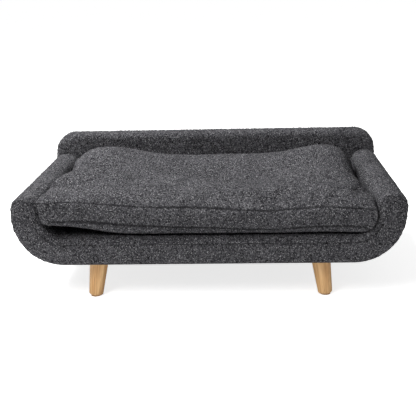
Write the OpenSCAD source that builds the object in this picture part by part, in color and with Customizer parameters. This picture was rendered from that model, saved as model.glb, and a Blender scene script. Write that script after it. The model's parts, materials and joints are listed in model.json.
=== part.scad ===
// Raised pet sofa: an upholstered U-shaped shell on four splayed wooden legs,
// an upholstered back panel and a loose boxed cushion with a zipped cover.
// Millimetres. X to the right, Y to the back, Z up, origin on the floor at the centre.

/* [Overall] */
// Width over both arms
bed_w = 900; // [740:10:1100]
// Depth from the front face to the rear of the back panel
bed_d = 550; // [440:10:700]
// Height of the arm tops above the floor
arm_h = 256; // [230:1:320]
// Height of the back panel above the floor
back_h = 311; // [285:1:380]
// Height of the base's underside above the floor
leg_clear = 93; // [70:1:130]

/* [Upholstered shell] */
// Finished thickness of the base and the arms
band_t = 66; // [58:1:84]
// Outside radius of the two lower corners
corner_r = 118; // [96:1:150]
// Radius that rounds the arm tops
arm_round_r = 30; // [12:1:31]
// Height of the soft roll on top of each arm's frame
arm_roll_h = 32; // [31.5:0.5:40]
// Thickness of the cover fabric
fabric_t = 2; // [1:0.1:3]
// Thickness of the foam under the cushion and inside the arms
inner_foam_t = 18; // [10:1:20]
// Thickness of the foam on the outside of the shell
outer_foam_t = 6; // [4:0.5:10]
// Thickness of the foam over the front rib
front_foam_t = 14; // [8:1:25]

/* [Wooden frame] */
// Thickness of the plywood ribs
rib_t = 15; // [12:1:18]
// Thickness of the bent plywood skins
skin_t = 3; // [2:0.5:4]
// Width of each floor rail
floor_rail_w = 40; // [30:1:60]
// Distance from each outer floor rail to the leg blocks beside it
rail_to_block = 50; // [10:5:60]
// Height of each arm rail
arm_rail_h = 22; // [18:1:30]
// Side of each square leg block
leg_block_w = 70; // [64:1:80]

/* [Back panel] */
// Finished thickness of the back panel
back_t = 60; // [58:1:80]
// Step in from the shell's outline to the back panel's
back_inset = 4; // [2:0.5:5]
// Radius of the back panel's upper corners
back_corner_r = 52; // [30:1:80]
// Thickness of the plywood back board
board_t = 15; // [12:1:18]
// Thickness of the foam behind the back board
rear_foam_t = 20; // [10:1:20]
// Thickness of the foam round the back board's edge
edge_foam_t = 8; // [4:1:14]

/* [Legs] */
// Distance from each foot to the outside of the arm above it
foot_side_inset = 176; // [165:1:200]
// Distance from each foot to the base's front or rear face
foot_setback = 58; // [50:1:75]
// Outward lean of the legs to the side, in degrees
splay_x = 7.5; // [0:0.5:10]
// Outward lean of the legs to the front or rear, in degrees
splay_y = 5; // [0:0.5:8]
// Leg diameter at the foot
leg_foot_d = 33; // [28:1:40]
// Leg diameter at the base
leg_top_d = 46; // [38:1:52]
// Thickness of the foot glides
glide_t = 2; // [2:0.5:6]
// Diameter of the foot glides
glide_d = 24; // [18:1:26]

/* [Leg fixings] */
// Diameter of the hanger bolts
bolt_d = 8; // [6:1:8]
// Outside diameter of the threaded inserts
insert_d = 12; // [10:0.5:14]
// Length of the threaded inserts
insert_len = 20; // [14:1:22]
// Depth of the hanger bolt in the leg
bolt_in_leg = 36; // [25:1:45]
// Diameter of the wooden pad between each leg and the frame
leg_pad_d = 54; // [50:1:60]
// Gap between each pad and the cover fabric round it
leg_pad_gap = 3; // [1:0.5:6]

/* [Cushion] */
// Gap between the cushion and each arm
cushion_side_gap = 2; // [1:0.5:10]
// Gap between the cushion and the back panel
cushion_rear_gap = 12; // [9:0.5:20]
// Step in from the front face to the cushion's front
cushion_front_inset = 8; // [0:1:30]
// Height of the lower seam above the seat
lower_seam_h = 28; // [15:1:40]
// Height of the side band between the two seams
side_band_h = 42; // [30:1:60]
// Rise of the crown from front to rear
crown_h = 53; // [20:1:60]
// Radius of the cushion's corners seen from above
cushion_corner_r = 45; // [30:1:70]
// How much rounder the cushion's lower sides are than the seat's inside corners
cushion_low_ease = 10; // [4:1:20]
// Radius along the cushion's lower front and rear edges
cushion_edge_r = 26; // [10:1:28]
// Thickness of the cushion's cover fabric
cushion_fabric_t = 1.5; // [1:0.1:3]

/* [Zip] */
// Distance from each round corner of the cushion to the end of the zip
zip_end_margin = 77; // [20:1:120]
// Width of the zip tape
zip_tape_w = 26; // [20:1:30]
// Length of the slider
slider_len = 11; // [8:0.5:14]
// Length of the slider's pull tab
pull_len = 24; // [16:1:30]

/* [Dust cover] */
// Thickness of the dust cover
dust_t = 1; // [0.6:0.1:2]
// Overlap of the dust cover on the cover fabric
dust_lap = 16; // [12:1:25]
// Margin from the round corners of the base to the dust cover
dust_margin = 6; // [2:1:15]
// Distance between neighbouring staples
staple_pitch = 60; // [40:5:80]

/* [Hidden] */
$fn = 72;

// gap between neighbouring layers, and the overshoot of every cutter
gap = 0.2;
over = 1;

// depths into the shell from its outside, layer by layer
outer_foam_at = fabric_t + gap;
outer_skin_at = outer_foam_at + outer_foam_t + gap;
rib_outer_at = outer_skin_at + skin_t + gap;
// depths into the shell from its inside
inner_foam_at = fabric_t + gap;
inner_skin_at = inner_foam_at + inner_foam_t + gap;
rib_inner_at = inner_skin_at + skin_t + gap;
rib_band = band_t - rib_outer_at - rib_inner_at;

// heights
seat_z = leg_clear + band_t;
wood_top_z = arm_h - arm_roll_h;
rib_floor_z = leg_clear + rib_outer_at;

// places along the depth
front_y = -bed_d / 2;
rear_y = bed_d / 2;
shell_rear_y = rear_y - back_t;
board_rear_y = rear_y - fabric_t - gap - rear_foam_t - gap;
board_front_y = board_rear_y - board_t;
foam_front_y = front_y + fabric_t + gap;
frame_front_y = foam_front_y + front_foam_t + gap;
frame_rear_y = board_front_y;
rear_rib_y = frame_rear_y - rib_t;
middle_rib_y = (frame_front_y + rear_rib_y + rib_t) / 2 - rib_t / 2;

// legs
foot_x = bed_w / 2 - foot_side_inset;
leg_signs = [[-1, -1], [1, -1], [-1, 1], [1, 1]];
base_centre_y = (front_y + shell_rear_y) / 2;
base_half_d = (shell_rear_y - front_y) / 2;
foot_y = base_half_d - foot_setback;
leg_top_z = leg_clear - dust_t;
leg_spare = 25;
lean_x = tan(splay_x);
lean_y = tan(splay_y);
lean = atan(sqrt(lean_x * lean_x + lean_y * lean_y));
leg_slope = (leg_top_d - leg_foot_d) / leg_top_z;
insert_start = (rib_floor_z + 3) / cos(lean);
nail_d = 3;
nail_len = 16;
bolt_clear_d = bolt_d + 6;

// floor rails stand beside the leg blocks, in half-laps across the middle rib
rib_mid_z = rib_floor_z + rib_band / 2;
floor_rail_pitch = leg_x([1, 1], rib_mid_z) - leg_block_w / 2 - rail_to_block - floor_rail_w / 2;
floor_rail_xs = [-floor_rail_pitch, 0, floor_rail_pitch];
lap_gap = 0.1;

// fixings of the back board and of the rails
back_bolt_d = 6;
back_bolt_head_d = 13;
back_bolt_head_t = 3;
back_washer_d = 18;
back_washer_t = 1.5;
tee_flange_d = 19;
tee_flange_t = 1.5;
tee_barrel_d = 8;
tee_barrel_len = 9;
fit_gap = 0.1;
screw_d = 4;
screw_head_d = 8;
screw_len = 45;
arm_mid_x = bed_w / 2 - rib_outer_at - rib_band / 2;
rib_mid_r = corner_r - rib_outer_at - rib_band / 2;
corner_x = bed_w / 2 - corner_r;
corner_z = leg_clear + corner_r;

// cushion
cushion_half_w = bed_w / 2 - band_t - cushion_side_gap;
cushion_low_r = corner_r - band_t + cushion_low_ease;
cushion_front_y = front_y + cushion_front_inset;
cushion_rear_y = shell_rear_y - cushion_rear_gap;
cushion_mid_y = (cushion_front_y + cushion_rear_y) / 2;
cushion_half_d = (cushion_rear_y - cushion_front_y) / 2;
cushion_floor_z = seat_z + 0.4;
lower_seam_z = cushion_floor_z + lower_seam_h;
upper_seam_z = lower_seam_z + side_band_h;
seam_lip = 3;
crown_base_z = upper_seam_z + seam_lip;
crown_z = crown_base_z + crown_h;

// zip, on the rear face of the cushion's side band
zip_z = lower_seam_z + side_band_h / 2 + 6;
zip_len = 2 * (cushion_half_w - cushion_corner_r - zip_end_margin);
tape_end = 10;
tape_t = 0.8;
coil_w = 3;
coil_t = 1.6;
coil_split = 0.6;
stop_len = 3;
slider_wall = 1.2;
slider_gap = 0.3;
pull_w = 6;
pull_t = 1.2;
slide_gap = 0.4;
slider_x = zip_len / 2 - stop_len - slide_gap - slider_len;
tape_y = cushion_rear_y;
coil_y = tape_y + tape_t;
bridge_half_len = 3.5;
bridge_post = 1.2;
bridge_rise = 3;
bridge_open = 2;
bridge_w = 2;
pull_bar = 2.6;
pull_slot = 3;

// dust cover
dust_half_w = corner_x - dust_margin;
dust_open_half_d = foot_y - lean_y * leg_clear + leg_pad_d / 2 + leg_pad_gap;
dust_half_d = dust_open_half_d + dust_lap;
staple_w = 10;
staple_t = 0.6;
staple_in = 5;

wood = [0.86, 0.70, 0.48];
plywood = [0.80, 0.66, 0.46];
steel = [0.72, 0.73, 0.75];
brass = [0.80, 0.72, 0.45];
charcoal = [0.25, 0.25, 0.27];
foam_white = [0.93, 0.91, 0.84];
dust_black = [0.10, 0.10, 0.11];
felt_tan = [0.72, 0.58, 0.40];

// ---------- outlines, seen from the front (x, z) ----------

// rectangle with its own radius at the top and at the bottom corners
module rounded_panel(half_w, z0, z1, low_r, top_r) {
    difference() {
        translate([-half_w, z0]) square([2 * half_w, z1 - z0]);
        for (side = [-1, 1]) {
            corner_cut(side * half_w, z0, -side, 1, low_r);
            corner_cut(side * half_w, z1, -side, -1, top_r);
        }
    }
}

// what a round corner of radius r takes off the square corner at (x, z)
module corner_cut(x, z, dir_x, dir_z, r) {
    if (r > 0)
        difference() {
            translate([x + (dir_x > 0 ? -over : -r), z + (dir_z > 0 ? -over : -r)])
                square([r + over, r + over]);
            translate([x + dir_x * r, z + dir_z * r]) circle(r = r);
        }
}

// the shell's outside outline, stepped in by depth, open at the top
module shell_outline(depth, top_z) {
    rounded_panel(bed_w / 2 - depth, leg_clear + depth, top_z, corner_r - depth, 0);
}

// the U between two depths, both measured from the outside
module shell_band(from, to, top_z) {
    difference() {
        shell_outline(from, top_z);
        shell_outline(to, top_z + over);
    }
}

// the whole U with rounded arm tops, stepped in all round by depth
module shell_profile(depth) {
    r = arm_round_r - depth;
    top_z = arm_h - depth;
    difference() {
        shell_band(depth, band_t - depth, top_z);
        for (side = [-1, 1]) {
            corner_cut(side * (bed_w / 2 - depth), top_z, -side, -1, r);
            corner_cut(side * (bed_w / 2 - band_t + depth), top_z, side, -1, r);
        }
    }
}

// the back panel's outline, stepped in by depth
module back_profile(depth) {
    step = back_inset + depth;
    rounded_panel(
        bed_w / 2 - step, leg_clear + step, back_h - depth,
        corner_r - step, back_corner_r - depth
    );
}

// stands an outline up and gives it depth from y0 to y1
module along_y(y0, y1) {
    translate([0, y1, 0]) rotate([90, 0, 0]) linear_extrude(y1 - y0) children();
}

// ---------- wooden frame ----------

module rib_profile(top_z) {
    shell_band(rib_outer_at, band_t - rib_inner_at, top_z);
}

// points (x, z) where a rail meets the front and the rear rib
rail_ends = concat(
    [for (x = floor_rail_xs) [x, rib_mid_z]],
    [for (side = [-1, 1]) [side * arm_mid_x, wood_top_z - arm_rail_h / 2]]
);

// screw clearance holes through a rib; the countersinks open towards face_y
module rib_screw_holes(y0, face_y, out) {
    for (p = rail_ends) {
        translate([p[0], y0 - over, p[1]])
            rotate([-90, 0, 0]) cylinder(d = screw_d + 2 * fit_gap, h = rib_t + 2 * over);
        translate([p[0], face_y, p[1]]) rotate([90 * out, 0, 0]) screw_head(fit_gap);
    }
}

// countersunk head whose flat face is at z = 0 and whose cone points to -z
module screw_head(grow) {
    cone_h = (screw_head_d - screw_d) / 2;
    translate([0, 0, -cone_h]) cylinder(d1 = screw_d + 2 * grow, d2 = screw_head_d + 2 * grow, h = cone_h);
}

module front_rib() {
    color(plywood)
        difference() {
            along_y(frame_front_y, frame_front_y + rib_t) rib_profile(wood_top_z);
            rib_screw_holes(frame_front_y, frame_front_y, 1);
        }
}

module middle_rib() {
    color(plywood)
        difference() {
            along_y(middle_rib_y, middle_rib_y + rib_t) rib_profile(wood_top_z - arm_rail_h - gap);
            for (x = floor_rail_xs)
                translate([x - floor_rail_w / 2 - lap_gap, middle_rib_y - over, rib_mid_z])
                    cube([floor_rail_w + 2 * lap_gap, rib_t + 2 * over, rib_band]);
        }
}

// points (x, z) of the bolts that hold the back board to the rear rib:
// two in the floor between the rails, and one in the middle of each round corner
back_bolt_points = concat(
    [for (side = [-1, 1]) [side * floor_rail_pitch / 2, rib_mid_z]],
    [for (side = [-1, 1]) [side * (corner_x + rib_mid_r * cos(45)), corner_z - rib_mid_r * sin(45)]]
);

module rear_rib() {
    color(plywood)
        difference() {
            along_y(rear_rib_y, rear_rib_y + rib_t) rib_profile(wood_top_z);
            rib_screw_holes(rear_rib_y, rear_rib_y + rib_t, -1);
            for (p = back_bolt_points)
                translate([p[0], rear_rib_y, p[1]]) rotate([-90, 0, 0]) {
                    translate([0, 0, -over])
                        cylinder(d = back_bolt_d + 2 * fit_gap, h = rib_t + 2 * over);
                    translate([0, 0, -over])
                        cylinder(d = tee_barrel_d + 2 * fit_gap, h = tee_barrel_len + over + fit_gap);
                }
        }
}

// pilot holes for the rail screws, from both ends of the frame
module pilot_holes(p) {
    pilot_len = screw_len - rib_t + over;
    for (y = [frame_front_y + rib_t - over, rear_rib_y - pilot_len])
        translate([p[0], y, p[1]])
            rotate([-90, 0, 0]) cylinder(d = screw_d + 2 * fit_gap, h = pilot_len + over);
}

module arm_rail(side) {
    color(wood)
        difference() {
            along_y(frame_front_y + rib_t, rear_rib_y)
                intersection() {
                    shell_band(rib_outer_at + lap_gap, band_t - rib_inner_at - lap_gap, wood_top_z);
                    translate([side > 0 ? 0 : -bed_w, wood_top_z - arm_rail_h])
                        square([bed_w, arm_rail_h + over]);
                }
            pilot_holes([side * arm_mid_x, wood_top_z - arm_rail_h / 2]);
        }
}

module floor_rails() {
    rail_z = rib_floor_z + lap_gap;
    color(wood)
        for (x = floor_rail_xs)
            difference() {
                translate([x - floor_rail_w / 2, frame_front_y + rib_t, rail_z])
                    cube([floor_rail_w, rear_rib_y - frame_front_y - rib_t, rib_band - 2 * lap_gap]);
                translate([x - floor_rail_w / 2 - over, middle_rib_y - lap_gap, rail_z - over])
                    cube([floor_rail_w + 2 * over, rib_t + 2 * lap_gap, rib_band / 2 + over]);
                pilot_holes([x, rib_mid_z]);
            }
}

module rail_screw() {
    translate([0, 0, -screw_len]) cylinder(d = screw_d, h = screw_len - (screw_head_d - screw_d) / 2);
    screw_head(0);
}

module rail_screws() {
    color(steel)
        for (p = rail_ends) {
            translate([p[0], frame_front_y, p[1]]) rotate([90, 0, 0]) rail_screw();
            translate([p[0], rear_rib_y + rib_t, p[1]]) rotate([-90, 0, 0]) rail_screw();
        }
}

module inner_skin() {
    color(plywood)
        along_y(frame_front_y, frame_rear_y)
            shell_band(band_t - inner_skin_at - skin_t, band_t - inner_skin_at, wood_top_z);
}

module outer_skin() {
    color(plywood)
        difference() {
            along_y(frame_front_y, frame_rear_y)
                shell_band(outer_skin_at, outer_skin_at + skin_t, wood_top_z);
            bolt_clear_holes(leg_clear, rib_floor_z + over);
        }
}

// ---------- legs and their fixings ----------

// puts a child built up the z axis onto the leg axis of the leg at sign s
module on_leg_axis(s) {
    turn_axis = [s[1] * lean_y, -s[0] * lean_x, 0];
    translate([s[0] * foot_x, base_centre_y + s[1] * foot_y, 0])
        rotate(a = lean, v = lean > 0 ? turn_axis : [1, 0, 0]) children();
}

// centre of the leg's axis at height z
function leg_x(s, z) = s[0] * (foot_x - lean_x * z);
function leg_y(s, z) = base_centre_y + s[1] * (foot_y - lean_y * z);

// height along the leg's own axis for a height z above the floor
function on_axis(z) = z / cos(lean);

module bolt_clear_holes(z0, z1) {
    for (s = leg_signs)
        translate([leg_x(s, (z0 + z1) / 2), leg_y(s, (z0 + z1) / 2), z0 - over])
            cylinder(d = bolt_clear_d, h = z1 - z0 + 2 * over);
}

module leg(s) {
    color(wood)
        difference() {
            on_leg_axis(s)
                translate([0, 0, -leg_spare])
                    cylinder(
                        d1 = leg_foot_d - leg_slope * leg_spare,
                        d2 = leg_top_d + leg_slope * leg_spare,
                        h = leg_top_z + 2 * leg_spare
                    );
            translate([-bed_w, -bed_d, glide_t - bed_d]) cube([2 * bed_w, 2 * bed_d, bed_d]);
            translate([-bed_w, -bed_d, leg_top_z]) cube([2 * bed_w, 2 * bed_d, bed_d]);
            on_leg_axis(s)
                translate([0, 0, on_axis(leg_top_z) - bolt_in_leg])
                    cylinder(d = bolt_d + 2 * fit_gap, h = bolt_in_leg + leg_spare);
            translate([leg_x(s, glide_t), leg_y(s, glide_t), 0])
                cylinder(d = nail_d + 2 * fit_gap, h = glide_t + nail_len + over);
        }
}

module leg_blocks() {
    color(wood)
        for (s = leg_signs)
            difference() {
                translate([leg_x(s, rib_mid_z), leg_y(s, rib_mid_z), rib_mid_z])
                    cube([leg_block_w, leg_block_w, rib_band], center = true);
                on_leg_axis(s)
                    translate([0, 0, insert_start - leg_spare])
                        cylinder(d = insert_d + 2 * fit_gap, h = leg_spare + insert_len + over);
            }
}

module leg_pads() {
    color(plywood)
        difference() {
            for (s = leg_signs)
                translate([leg_x(s, leg_clear), leg_y(s, leg_clear), leg_clear])
                    cylinder(d = leg_pad_d, h = outer_skin_at - gap);
            bolt_clear_holes(leg_clear, rib_floor_z);
        }
}

module threaded_inserts() {
    color(brass)
        for (s = leg_signs)
            on_leg_axis(s)
                translate([0, 0, insert_start])
                    difference() {
                        cylinder(d = insert_d, h = insert_len);
                        translate([0, 0, -over]) cylinder(d = bolt_d, h = insert_len + 2 * over);
                    }
}

module hanger_bolts() {
    start = on_axis(leg_top_z) - bolt_in_leg + over;
    color(steel)
        for (s = leg_signs)
            on_leg_axis(s)
                translate([0, 0, start])
                    cylinder(d = bolt_d - fit_gap, h = insert_start + insert_len - over - start);
}

module foot_glides() {
    color(felt_tan)
        for (s = leg_signs)
            translate([leg_x(s, glide_t), leg_y(s, glide_t), 0]) {
                cylinder(d = glide_d, h = glide_t);
                cylinder(d = nail_d, h = glide_t + nail_len);
            }
}

// ---------- upholstery of the shell ----------

module inner_foam() {
    color(foam_white)
        along_y(frame_front_y, shell_rear_y - gap)
            shell_band(band_t - inner_foam_at - inner_foam_t, band_t - inner_foam_at, wood_top_z);
}

module outer_foam() {
    color(foam_white)
        difference() {
            along_y(frame_front_y, shell_rear_y - gap)
                shell_band(outer_foam_at, outer_foam_at + outer_foam_t, wood_top_z);
            for (s = leg_signs)
                translate([leg_x(s, leg_clear), leg_y(s, leg_clear), leg_clear - over])
                    cylinder(d = leg_pad_d + 2 * gap, h = outer_skin_at + 2 * over);
        }
}

module arm_roll(side) {
    color(foam_white)
        intersection() {
            along_y(frame_front_y, shell_rear_y - gap) shell_profile(fabric_t + gap);
            translate([side > 0 ? 0 : -bed_w, -bed_d, wood_top_z + gap]) cube([bed_w, 2 * bed_d, bed_w]);
        }
}

module front_foam() {
    color(foam_white)
        along_y(foam_front_y, foam_front_y + front_foam_t) shell_profile(fabric_t + gap);
}

module shell_cover() {
    color(charcoal)
        difference() {
            along_y(front_y, shell_rear_y - gap) shell_profile(0);
            along_y(front_y + fabric_t, shell_rear_y + over) shell_profile(fabric_t);
            translate([-dust_half_w + dust_lap, base_centre_y - dust_open_half_d, leg_clear - over])
                cube([2 * (dust_half_w - dust_lap), 2 * dust_open_half_d, fabric_t + 2 * over]);
        }
}

module dust_cover() {
    color(dust_black)
        difference() {
            translate([-dust_half_w, base_centre_y - dust_half_d, leg_clear - dust_t])
                cube([2 * dust_half_w, 2 * dust_half_d, dust_t]);
            bolt_clear_holes(leg_clear - dust_t, leg_clear);
        }
}

// a row of staples centred on (0, 0) along x
module staple_row(length) {
    count = floor((length - 2 * staple_in - staple_w) / staple_pitch) + 1;
    for (i = [0 : count - 1])
        translate([(i - (count - 1) / 2) * staple_pitch - staple_w / 2, -staple_t, -staple_t])
            cube([staple_w, 2 * staple_t, staple_t]);
}

module dust_cover_staples() {
    color(steel)
        translate([0, base_centre_y, leg_clear - dust_t])
            for (side = [-1, 1]) {
                translate([0, side * (dust_half_d - staple_in), 0]) staple_row(2 * dust_half_w);
                translate([side * (dust_half_w - staple_in), 0, 0])
                    rotate([0, 0, 90]) staple_row(2 * (dust_half_d - staple_pitch));
            }
}

// ---------- back panel ----------

module back_board() {
    color(plywood)
        difference() {
            along_y(board_front_y, board_rear_y) back_profile(fabric_t + gap + edge_foam_t + gap);
            for (p = back_bolt_points)
                translate([p[0], board_rear_y, p[1]]) rotate([90, 0, 0]) {
                    translate([0, 0, -over])
                        cylinder(d = back_bolt_d + 2 * fit_gap, h = board_t + 2 * over);
                    translate([0, 0, -over])
                        cylinder(d = back_washer_d + 1, h = back_washer_t + back_bolt_head_t + gap + over);
                }
        }
}

// the place where the wooden frame runs into the back panel
module frame_slot(y0, y1) {
    along_y(y0, y1)
        shell_band(outer_skin_at - gap, band_t - inner_skin_at + gap, wood_top_z + gap);
}

module back_front_foam() {
    y0 = shell_rear_y + fabric_t + gap;
    color(foam_white)
        difference() {
            along_y(y0, board_front_y - gap) back_profile(fabric_t + gap);
            frame_slot(y0 - over, board_front_y + over);
        }
}

module back_rear_foam() {
    color(foam_white)
        difference() {
            along_y(board_front_y, board_rear_y + gap + rear_foam_t) back_profile(fabric_t + gap);
            along_y(board_front_y - over, board_rear_y + gap) back_profile(fabric_t + gap + edge_foam_t);
        }
}

module back_cover() {
    color(charcoal)
        difference() {
            along_y(shell_rear_y, rear_y) back_profile(0);
            along_y(shell_rear_y + fabric_t, rear_y - fabric_t) back_profile(fabric_t);
            frame_slot(shell_rear_y - over, shell_rear_y + fabric_t + over);
        }
}

module back_bolts() {
    color(steel)
        for (p = back_bolt_points)
            translate([p[0], board_rear_y - gap, p[1]]) rotate([90, 0, 0]) {
                cylinder(d = back_bolt_head_d, h = back_bolt_head_t);
                cylinder(d = back_bolt_d - fit_gap, h = board_t + rib_t - gap);
            }
}

module back_washers() {
    washer_y = board_rear_y - gap - back_bolt_head_t;
    color(steel)
        for (p = back_bolt_points)
            translate([p[0], washer_y, p[1]]) rotate([90, 0, 0])
                difference() {
                    cylinder(d = back_washer_d, h = back_washer_t);
                    translate([0, 0, -over])
                        cylinder(d = back_bolt_d + 2 * fit_gap, h = back_washer_t + 2 * over);
                }
}

module back_tee_nuts() {
    color(steel)
        for (p = back_bolt_points)
            translate([p[0], rear_rib_y, p[1]]) rotate([-90, 0, 0])
                difference() {
                    union() {
                        translate([0, 0, -tee_flange_t]) cylinder(d = tee_flange_d, h = tee_flange_t);
                        cylinder(d = tee_barrel_d, h = tee_barrel_len);
                    }
                    translate([0, 0, -tee_flange_t - over])
                        cylinder(d = back_bolt_d, h = tee_barrel_len + tee_flange_t + 2 * over);
                }
}

// ---------- cushion ----------

// side view of the crown: an arc from the front's upper seam to the rear's
module crown_arc(inset) {
    crown_r = (cushion_half_d * cushion_half_d + crown_h * crown_h) / (2 * crown_h);
    translate([0, crown_z - crown_r]) circle(r = crown_r - inset, $fn = 360);
}

// side view of the cushion below the crown: flat floor and round lower edges
module box_side(inset) {
    rounded_panel(
        cushion_half_d - inset, cushion_floor_z + inset, crown_z + over,
        cushion_edge_r - inset, 0
    );
}

// front view of the cushion: round lower sides that clear the seat's inside corners
module box_front(inset) {
    rounded_panel(
        cushion_half_w - inset, cushion_floor_z - over, crown_z + over,
        cushion_low_r + over - inset, 0
    );
}

// view of the cushion from above
module box_plan(inset) {
    plan_w = cushion_half_w - inset;
    plan_d = cushion_half_d - inset;
    difference() {
        translate([-plan_w, -plan_d]) square([2 * plan_w, 2 * plan_d]);
        for (sx = [-1, 1])
            for (sy = [-1, 1])
                corner_cut(sx * plan_w, sy * plan_d, -sx, -sy, cushion_corner_r - inset);
    }
}

// extrudes a side view over the cushion's whole width
module across_x() {
    rotate([0, 0, 90]) along_y(-cushion_half_w - over, cushion_half_w + over) children();
}

// the cushion's box, stepped in all round by inset, without its crown
module cushion_box(inset) {
    intersection() {
        across_x() box_side(inset);
        along_y(-cushion_half_d - over, cushion_half_d + over) box_front(inset);
        linear_extrude(crown_z + over) box_plan(inset);
    }
}

// the cover of the cushion's box between two heights
module box_cover(z0, z1) {
    intersection() {
        difference() {
            cushion_box(0);
            cushion_box(cushion_fabric_t);
        }
        translate([-bed_w, -bed_d, z0]) cube([2 * bed_w, 2 * bed_d, z1 - z0]);
    }
}

module cushion_filling() {
    inset = cushion_fabric_t + gap;
    color(foam_white)
        translate([0, cushion_mid_y, 0])
            intersection() {
                cushion_box(inset);
                across_x() crown_arc(inset);
            }
}

module cushion_top_panel() {
    color(charcoal)
        translate([0, cushion_mid_y, 0])
            intersection() {
                across_x()
                    difference() {
                        crown_arc(0);
                        crown_arc(cushion_fabric_t);
                        translate([-bed_d, -bed_d]) square([2 * bed_d, bed_d + upper_seam_z]);
                    }
                linear_extrude(crown_z + over) box_plan(0);
            }
}

module cushion_side_band() {
    color(charcoal)
        translate([0, cushion_mid_y, 0])
            intersection() {
                box_cover(lower_seam_z, crown_z + over);
                across_x() crown_arc(cushion_fabric_t);
            }
}

module cushion_bottom_panel() {
    color(charcoal)
        translate([0, cushion_mid_y, 0]) box_cover(cushion_floor_z - over, lower_seam_z);
}

// ---------- zip ----------

module zip_tape() {
    color(dust_black)
        translate([-zip_len / 2 - tape_end, tape_y, zip_z - zip_tape_w / 2])
            cube([zip_len + 2 * tape_end, tape_t, zip_tape_w]);
}

module zip_coils() {
    color(dust_black)
        for (side = [-1, 1])
            translate([0, coil_y + coil_t / 2, zip_z + side * (coil_split + coil_w) / 2])
                cube([zip_len, coil_t, coil_w], center = true);
}

module zip_stops() {
    slot_h = 2 * (coil_w + gap) + coil_split;
    stop_wall = 0.8;
    color(steel)
        for (x = [-zip_len / 2, zip_len / 2 - stop_len])
            difference() {
                translate([x, coil_y, zip_z - slot_h / 2 - stop_wall])
                    cube([stop_len, coil_t + gap + stop_wall, slot_h + 2 * stop_wall]);
                translate([x - over, coil_y - over, zip_z - slot_h / 2])
                    cube([stop_len + 2 * over, coil_t + gap + over, slot_h]);
            }
}

slider_mid_x = slider_x + slider_len / 2;
slider_depth = coil_t + slider_gap + slider_wall;
bridge_y = coil_y + slider_depth;

module zip_slider() {
    channel_h = 2 * (coil_w + slider_gap) + coil_split;
    slider_h = channel_h + 2 * slider_wall;
    color(steel) {
        difference() {
            translate([slider_x, coil_y + slide_gap, zip_z - slider_h / 2])
                cube([slider_len, slider_depth - slide_gap, slider_h]);
            translate([slider_x - over, coil_y - over, zip_z - channel_h / 2])
                cube([slider_len + 2 * over, coil_t + slider_gap + over, channel_h]);
        }
        translate([slider_mid_x, bridge_y, zip_z])
            difference() {
                translate([-bridge_half_len, -gap, -bridge_w / 2])
                    cube([2 * bridge_half_len, bridge_rise + gap, bridge_w]);
                translate([-bridge_half_len + bridge_post, 0, -bridge_w / 2 - over])
                    cube([2 * (bridge_half_len - bridge_post), bridge_open, bridge_w + 2 * over]);
            }
    }
}

// the tab's bar turns inside the bridge; the tab points to -x and swings to +y
module zip_pull() {
    eye_d = 2.6;
    slot_w = bridge_w + 2 * slider_gap;
    color(steel)
        translate([slider_mid_x, bridge_y + (bridge_open - pull_t) / 2, zip_z])
            difference() {
                translate([pull_bar / 2 - pull_len, 0, -pull_w / 2]) cube([pull_len, pull_t, pull_w]);
                translate([-pull_bar / 2 - pull_slot, -over, -slot_w / 2])
                    cube([pull_slot, pull_t + 2 * over, slot_w]);
                translate([eye_d + pull_bar / 2 - pull_len, -over, 0])
                    rotate([-90, 0, 0]) cylinder(d = eye_d, h = pull_t + 2 * over);
            }
}

front_rib();
middle_rib();
rear_rib();
arm_rail(-1);  // arm_rail_left
arm_rail(1);  // arm_rail_right
floor_rails();
rail_screws();
inner_skin();
outer_skin();
leg_blocks();
leg_pads();
threaded_inserts();
hanger_bolts();
leg([-1, -1]);  // leg_front_left
leg([1, -1]);  // leg_front_right
leg([-1, 1]);  // leg_rear_left
leg([1, 1]);  // leg_rear_right
foot_glides();
inner_foam();
outer_foam();
arm_roll(-1);  // arm_roll_left
arm_roll(1);  // arm_roll_right
front_foam();
shell_cover();
dust_cover();
dust_cover_staples();
back_board();
back_front_foam();
back_rear_foam();
back_cover();
back_bolts();
back_washers();
back_tee_nuts();
cushion_filling();
cushion_top_panel();
cushion_side_band();
cushion_bottom_panel();
zip_tape();
zip_coils();
zip_stops();
zip_slider();
zip_pull();
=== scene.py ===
import json
import math
import bmesh
import bpy
import numpy as np
from mathutils import Matrix, Vector


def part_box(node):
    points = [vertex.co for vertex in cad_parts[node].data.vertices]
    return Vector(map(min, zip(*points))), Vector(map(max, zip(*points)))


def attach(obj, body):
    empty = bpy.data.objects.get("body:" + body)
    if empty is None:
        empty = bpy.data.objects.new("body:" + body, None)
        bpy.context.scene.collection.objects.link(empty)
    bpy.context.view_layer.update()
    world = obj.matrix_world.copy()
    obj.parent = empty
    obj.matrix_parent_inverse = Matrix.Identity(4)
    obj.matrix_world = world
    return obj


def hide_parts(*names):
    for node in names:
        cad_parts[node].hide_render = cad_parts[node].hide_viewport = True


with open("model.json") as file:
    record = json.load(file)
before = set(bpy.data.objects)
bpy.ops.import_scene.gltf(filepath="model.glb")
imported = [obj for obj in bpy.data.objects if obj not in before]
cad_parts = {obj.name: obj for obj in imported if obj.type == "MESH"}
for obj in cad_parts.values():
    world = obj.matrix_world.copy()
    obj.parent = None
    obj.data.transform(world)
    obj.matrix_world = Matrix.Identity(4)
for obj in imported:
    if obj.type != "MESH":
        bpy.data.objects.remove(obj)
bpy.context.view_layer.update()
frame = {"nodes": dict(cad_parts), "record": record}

scene = bpy.context.scene
floatIn = "NodeSocketFloat"
intIn = "NodeSocketInt"
vectorIn = "NodeSocketVector"
materialIn = "NodeSocketMaterial"
geometryIn = "NodeSocketGeometry"


# small helpers for numbers and meshes

def ease(start, end, value):
    t = np.clip((value - start) / (end - start), 0.0, 1.0)
    return t * t * (3.0 - 2.0 * t)


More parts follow.
